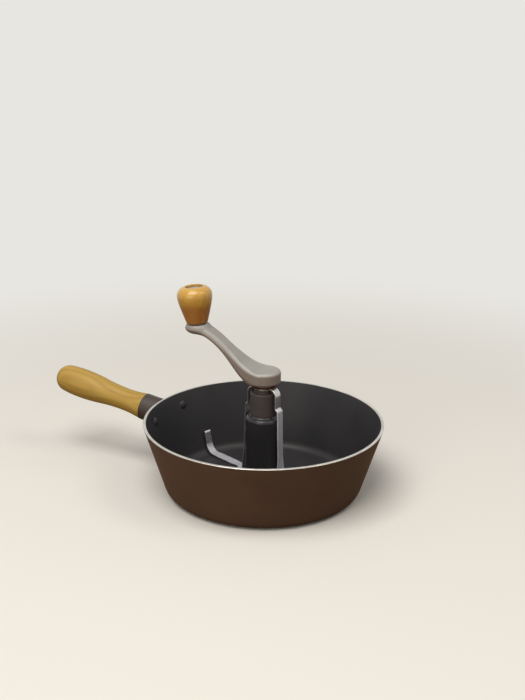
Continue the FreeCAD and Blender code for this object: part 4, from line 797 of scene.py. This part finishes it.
def soft_least(first, second, reach):
    """The smaller of two distances, with a fillet of the given reach where they are nearly equal."""
    blend = np.clip(0.5 + 0.5 * (second - first) / reach, 0, 1)
    return second + (first - second) * blend - reach * blend * (1 - blend)


def upper_face(x, y):
    """Height of the whole upper face, and 1 on the seat: the arm's line less a slight crown that falls with
    the square of y, or the seat's flat leaning plane."""
    on_seat = 1 - eased(np.hypot(x - CRANK_THROW, y), *SEAT_RUN)
    plane = KNOB_SEAT - (x - CRANK_THROW) * math.tan(KNOB_LEAN)
    crown = ARM_CROWN * eased(x, *CROWN_RUN) * (1 - on_seat) * (2 * y / arm_size(x, 0)) ** 2
    return arm_top(x) + (plane - arm_top(x)) * on_seat - crown, on_seat


def crank_distance(x, y, z):
    """Signed distance to the casting, for the arm along X.

    Hub, arm and seat, each open at the top, are joined with fillets, and the upper face cuts them off with a
    round edge. Arm and seat thin a little outwards, as the arm's slope runs out."""
    from_axis = np.hypot(x, y)
    hub = round_corner(from_axis - HUB_RADIUS, HUB_BOTTOM - z, HUB_FOOT_EDGE)
    thickness, level = arm_size(x, 1), arm_level(x)
    taper = TIP_TAPER * np.clip(x - CRANK_THROW + SEAT_RADIUS, 0, None)
    underside = (arm_top(x) - z) * level - thickness + taper
    foot_edge = ROOT_FOOT_EDGE + (TIP_FOOT_EDGE - ROOT_FOOT_EDGE) * eased(x, *FOOT_EDGE_RUN)
    past_middle = np.hypot(np.clip(x - CRANK_THROW, 0, None), y)
    arm = np.maximum(round_corner(past_middle - arm_size(x, 0) / 2, underside, foot_edge), ARM_START - x)
    out = (x - CRANK_THROW) * math.cos(KNOB_LEAN) - (z - KNOB_SEAT) * math.sin(KNOB_LEAN)
    up = (x - CRANK_THROW) * math.sin(KNOB_LEAN) + (z - KNOB_SEAT) * math.cos(KNOB_LEAN)
    seat = round_corner(np.hypot(out, y) - SEAT_RADIUS, SEAT_TAPER * out - up - SEAT_THICKNESS, SEAT_EDGE)
    hub_fillet = HUB_FILLET + HUB_FILLET_GROWTH * eased(from_axis, *FILLET_RUN)
    sides = soft_least(soft_least(arm, hub, hub_fillet), seat, SEAT_FILLET)
    top, on_seat = upper_face(x, y)
    low_edge = HUB_TOP_EDGE + (LOW_EDGE - HUB_TOP_EDGE) * eased(x, *LOW_EDGE_RUN)
    edge = low_edge + (HIGH_EDGE - LOW_EDGE) * eased(x, *HIGH_EDGE_RUN)
    return round_corner(sides, (z - top) * level, edge + (SEAT_TOP_EDGE - edge) * on_seat)


# %% Crank rays
CRANK_STATIONS, CRANK_AROUND, HALVINGS = 300, 176, 36
RAY_FLATNESS, LONGEST_RAY, FIRST_STATION = 0.55, 40.0, 0.02
END_DEPTH = 2.05  # how deep below the seat's face its far end is widest, between the two round edges

near_end = -HUB_RADIUS
far_end = CRANK_THROW + SEAT_RADIUS * math.cos(KNOB_LEAN) - END_DEPTH * math.sin(KNOB_LEAN)
spread = (1 - np.cos(np.linspace(FIRST_STATION, math.pi - FIRST_STATION, CRANK_STATIONS))) / 2
stations = (near_end + (far_end - near_end) * spread)[:, None]
turns = np.linspace(0, 2 * np.pi, CRANK_AROUND, endpoint=False)[None, :]
way_y, way_z = np.cos(turns), np.sin(turns) * RAY_FLATNESS
length = np.hypot(way_y, way_z)
way_y, way_z = way_y / length, way_z / length
hub_half = (HUB_TOP - HUB_BOTTOM) / 2
arm_half = arm_size(stations, 1) / 2 / arm_level(stations)
half_height = hub_half + (arm_half - hub_half) * eased(stations, *DEPTH_RUN)
half_height = half_height + (END_DEPTH - half_height) * eased(stations, CRANK_THROW, far_end)
start_z = arm_top(stations) - half_height
inside = np.zeros((CRANK_STATIONS, CRANK_AROUND))
beyond = np.full((CRANK_STATIONS, CRANK_AROUND), LONGEST_RAY)
for _ in range(HALVINGS):
    reach = (inside + beyond) / 2
    within = crank_distance(stations, way_y * reach, start_z + way_z * reach) < 0
    inside = np.where(within, reach, inside)
    beyond = np.where(within, beyond, reach)
along = np.broadcast_to(stations, inside.shape)
crank_rings = spun(np.stack([along, way_y * inside, start_z + way_z * inside], -1), CRANK_TURN)
print("crank: thinnest ray", round(float(inside.min()), 2), "mm, widest", round(float(inside.max()), 2), "mm")

# %% Crank casting
BOSS_BOTTOM, BOSS_RADIUS, BOSS_EDGE, BOSS_LAP = 111.7, 11.0, 0.5, 1
BOSS_AROUND, BOSS_STEP = 96, 2
boss_top = HUB_BOTTOM + BOSS_LAP
boss_line = divided(rounded(
    [(POLE_RING, BOSS_BOTTOM), (BOSS_RADIUS, BOSS_BOTTOM), (BOSS_RADIUS, boss_top), (POLE_RING, boss_top)],
    (0, BOSS_EDGE, 0, 0)), BOSS_STEP)
boss = shell(turned(boss_line, BOSS_AROUND), (0, 0, BOSS_BOTTOM), (0, 0, boss_top))
arm_and_hub = shell(crank_rings, crank_rings[0].mean(0), crank_rings[-1].mean(0))
piece("crank_casting", [arm_and_hub, boss], [tumbled_aluminium], "stirrer", ["crank_arm"],
      sharp=50)

# %% [markdown]
# ## The stirring blades
# Each blade is one flat steel strip. It comes out under the hub, bends down beside the sleeve, steps
# outwards round the post, twists, and runs over the floor to the wall, where its toe turns up. A curve with
# a bevel would twist as it liked, so the strip is led from bend to bend as on a bench: the frame that it
# ends one bend with is the frame that it starts the next with. Its section is carried along and has rounded
# edges.


# %% Bench bending
def carried(vector, axis, angles):
    """A vector carried round an axis k by angles a: v cos a + (k x v) sin a + k (k . v)(1 - cos a)."""
    return (vector * np.cos(angles) + np.cross(axis, vector) * np.sin(angles)
            + axis * (axis @ vector) * (1 - np.cos(angles)))


class Strip:
    """The middle line of a strip: point, the way it runs, and the face it shows, at every section."""

    def __init__(self, point, along, face):
        self.points = np.array([point], float)
        self.alongs = np.array([along], float)
        self.faces = np.array([face], float)

    def lengthen(self, points, alongs, faces):
        """Adds sections at the end."""
        self.points = np.vstack([self.points, points])
        self.alongs = np.vstack([self.alongs, alongs])
        self.faces = np.vstack([self.faces, faces])

    def straight(self, length, steps=6):
        """Adds a straight run."""
        shares = np.linspace(0, length, steps + 1)[1:, None]
        ones = np.ones_like(shares)
        self.lengthen(self.points[-1] + self.alongs[-1] * shares, self.alongs[-1] * ones,
                      self.faces[-1] * ones)

    def down_to(self, height, steps=8):
        """Runs straight until the middle line is at a height."""
        self.straight((self.points[-1][2] - height) / -self.alongs[-1][2], steps)

    def swing(self, axis, pivot, angle, steps):
        """Carries the last section round an axis through the pivot, by an angle in degrees."""
        angles = np.radians(np.linspace(0, angle, steps + 1))[1:, None]
        self.lengthen(pivot + carried(self.points[-1] - pivot, axis, angles),
                      carried(self.alongs[-1], axis, angles), carried(self.faces[-1], axis, angles))

    def bend(self, angle, radius):
        """Bends towards the face, or away from it where the angle is negative."""
        axis = np.cross(self.alongs[-1], self.faces[-1])
        pivot = self.points[-1] + self.faces[-1] * radius * math.copysign(1, angle)
        self.swing(axis, pivot, angle, max(4, round(abs(angle) / 6)))

    def turn(self, angle, radius):
        """Turns in the strip's own plane, anticlockwise as seen on its face."""
        left = np.cross(self.faces[-1], self.alongs[-1])
        self.swing(self.faces[-1], self.points[-1] + left * radius * math.copysign(1, angle), angle, 10)

    def twist(self, angle, length, steps=12):
        """Twists about the middle line over a length."""
        shares = np.linspace(0, 1, steps + 1)[1:, None]
        axis = self.alongs[-1]
        faces = carried(self.faces[-1], axis, math.radians(angle) * shares)
        self.lengthen(self.points[-1] + axis * length * shares, np.repeat(axis[None], steps, 0), faces)


# %% Blade sizes
STRIP_WIDTH, STRIP_THICKNESS, STRIP_EDGE, OUTLINE_STEP = 8.2, 1.5, 0.4, 1.4
EYE_RADIUS, SQUARE_HOLE, EYE_EDGE, EYE_AROUND = 9.5, 9.2, 0.3, 96
TAB_START, DROP_RADIUS, CROWN_RADIUS = 6.8, 17.2, 7.5
JOG_HEIGHT, JOG_ANGLE, JOG_RADIUS, DROP_LEAN, POST_CLEARANCE = 91.0, 50.0, 1.9, 1.8, 1.3
TWIST_TOP, TWIST_BOTTOM, TWIST_ANGLE, BEND_RADIUS = 38.0, 14.0, 42.0, 3.2
SCRAPE_GAP, FIRST_LEG, ELBOW_ANGLE, ELBOW_RADIUS, SECOND_LEG = 0.9, 22.6, 33.0, 9.0, 36.8
PLOUGH_RUN, PLOUGH_ANGLE, TOE_RADIUS, TOE_LENGTH = 8.0, 8.0, 11.0, 15.4
# The tip's broken edge: its length in mm, and its last ring's width and thickness as shares of the strip's.
TIP_EDGE, TIP_WIDTH, TIP_THICKNESS = 0.3, 0.94, 0.7
REAR_TURN = 169.5


# %% Blade path
def blade_path(tab_height):
    """The middle line of a blade whose tab lies at a height and points along X."""
    half = STRIP_THICKNESS / 2
    strip = Strip((TAB_START, 0, tab_height + half), (1, 0, 0), (0, 0, 1))
    # Out under the hub, over the crown and down beside the sleeve.
    strip.straight(DROP_RADIUS - CROWN_RADIUS - TAB_START, steps=3)
    strip.bend(-90, CROWN_RADIUS)
    strip.down_to(JOG_HEIGHT, steps=4)
    # The step: both its arcs move the strip outwards too, so the straight between them is shorter by that.
    step_out = POST_RADIUS + POST_CLEARANCE + half - DROP_RADIUS
    step_arcs = 2 * JOG_RADIUS * (1 - math.cos(math.radians(JOG_ANGLE)))
    strip.bend(JOG_ANGLE, JOG_RADIUS)
    strip.straight((step_out - step_arcs) / math.sin(math.radians(JOG_ANGLE)), steps=3)
    strip.bend(DROP_LEAN - JOG_ANGLE, JOG_RADIUS)
    # Down the post with a twist, then level, just over the floor.
    strip.down_to(TWIST_TOP, steps=24)
    strip.twist(TWIST_ANGLE, TWIST_TOP - TWIST_BOTTOM, steps=18)
    levelling = math.degrees(math.atan2(-strip.alongs[-1][2], strip.faces[-1][2]))
    drop = BEND_RADIUS * (math.cos(math.radians(90 - levelling)) * -strip.alongs[-1][2])
    strip.down_to(PAN_FLOOR + SCRAPE_GAP + half + drop, steps=4)
    strip.bend(levelling, BEND_RADIUS)
    # Over the floor: an elbow, a second leg that leans like a plough, and the toe up the wall.
    strip.straight(FIRST_LEG)
    strip.turn(ELBOW_ANGLE, ELBOW_RADIUS)
    strip.twist(-PLOUGH_ANGLE, PLOUGH_RUN)
    strip.straight(SECOND_LEG - 2 * PLOUGH_RUN)
    strip.twist(PLOUGH_ANGLE, PLOUGH_RUN)
    strip.bend(90 - math.degrees(WALL_LEAN), TOE_RADIUS)
    strip.straight(TOE_LENGTH - TIP_EDGE)
    return strip


# %% Blades
def blade_shells(tab_height, turn):
    """Strip and eye of a blade that is turned by an angle in degrees.

    A section with round edges goes along the path, and its last ring is a little smaller as a broken edge.
    The eye is a ring from a circle outside to a square inside: half the square's side over the larger of
    |cos| and |sin| of the angle from the drive."""
    path = blade_path(tab_height)
    wide, thick = STRIP_WIDTH / 2, STRIP_THICKNESS / 2
    corners = [(wide, thick), (-wide, thick), (-wide, -thick), (wide, -thick)]
    outline = divided(rounded(corners, (STRIP_EDGE,) * 4, 6), OUTLINE_STEP, closed=True)
    across = np.cross(path.alongs, path.faces)
    rings = (path.points[:, None, :] + across[:, None, :] * outline[None, :, :1]
             + path.faces[:, None, :] * outline[None, :, 1:])
    end = path.points[-1] + path.alongs[-1] * TIP_EDGE
    tip = end + across[-1] * outline[:, :1] * TIP_WIDTH + path.faces[-1] * outline[:, 1:] * TIP_THICKNESS
    rings = np.concatenate([rings, tip[None]])
    spin = math.radians(turn)
    angles = np.linspace(0, 2 * np.pi, EYE_AROUND, endpoint=False)
    to_drive = angles - (CRANK_TURN - spin)
    square = SQUARE_HOLE / 2 / np.maximum(np.abs(np.cos(to_drive)), np.abs(np.sin(to_drive)))
    low, high = tab_height, tab_height + STRIP_THICKNESS
    eye = [(EYE_RADIUS - EYE_EDGE, high), (EYE_RADIUS, high - EYE_EDGE), (EYE_RADIUS, low + EYE_EDGE),
           (EYE_RADIUS - EYE_EDGE, low), (square, low), (square, high)]
    eye_rings = np.array([np.stack([np.cos(angles) * radius, np.sin(angles) * radius,
                                    np.full(EYE_AROUND, height)], 1) for radius, height in eye])
    return [shell(spun(rings, spin), spun(path.points[0], spin), spun(end, spin)),
            shell(spun(eye_rings, spin), loop=True)]


SLEEVE_TOP = 107.7
piece("rear_blade_strip", blade_shells(SLEEVE_TOP, REAR_TURN), [rear_strip], "stirrer", ["blade_rear"])
piece("front_blade_strip", blade_shells(SLEEVE_TOP + STRIP_THICKNESS, REAR_TURN + 180), [front_strip],
      "stirrer", ["blade_front"])

# %% [markdown]
# ## The drive sleeve and the small metal parts
# The sleeve is a short grey-brown tube with a neck under the blades. Two joined cylinders would need a cut
# for the bore, so it is turned: a closed outline that goes down the outside and up the bore gives it all.
# Washers, bushes, screws, rivets, the bracket and the pins have the right shape in the CAD model already and
# only get their finish.

# %% Sleeve
SLEEVE_BOTTOM, SLEEVE_SHOULDER, WEB_BOTTOM = 80.2, 104.7, 102.2
SLEEVE_RADIUS, NECK_RADIUS, SLEEVE_BORE, SCREW_HOLE = 13.5, 9.5, 8.0, 2.7
SLEEVE_AROUND, SLEEVE_STEP = 128, 2
sleeve_line = rounded(
    [(SLEEVE_BORE, SLEEVE_BOTTOM), (SLEEVE_RADIUS, SLEEVE_BOTTOM), (SLEEVE_RADIUS, SLEEVE_SHOULDER),
     (NECK_RADIUS, SLEEVE_SHOULDER), (NECK_RADIUS, SLEEVE_TOP), (SCREW_HOLE, SLEEVE_TOP),
     (SCREW_HOLE, WEB_BOTTOM), (SLEEVE_BORE, WEB_BOTTOM)],
    (0.3, 0.8, 0.8, 0.4, 0.3, 0.2, 0.2, 0), 6)
sleeve_rings = turned(divided(sleeve_line, SLEEVE_STEP, closed=True), SLEEVE_AROUND)
piece("sleeve_tube", [shell(sleeve_rings, loop=True)], [sleeve_steel], "stirrer", ["drive_sleeve"])

# %% Finishes for the CAD parts that stay
CAD_FINISHES = (
    (bright_steel, ("post_spindle", "post_screw", "handle_screw", "screw_washer", "thrust_washer",
                    "hub_lock_washer", "hub_screw", "knob_spindle")),
    (bearing_bronze, ("lower_bush", "upper_bush")),
    (copper, ("copper_washer",)),
    # The knob's washer gets this dark finish as painted shade: it draws the dark line of shade under the knob.
    (sleeve_steel, ("knob_washer",)),
    (bracket_paint, ("handle_bracket",)),
    (coated_rivets, ("handle_rivets",)),
)
for finish, node_names in CAD_FINISHES:
    for node_name in node_names:
        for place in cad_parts[node_name].material_slots:
            place.material = finish
    print(finish.name, "on", ", ".join(node_names))
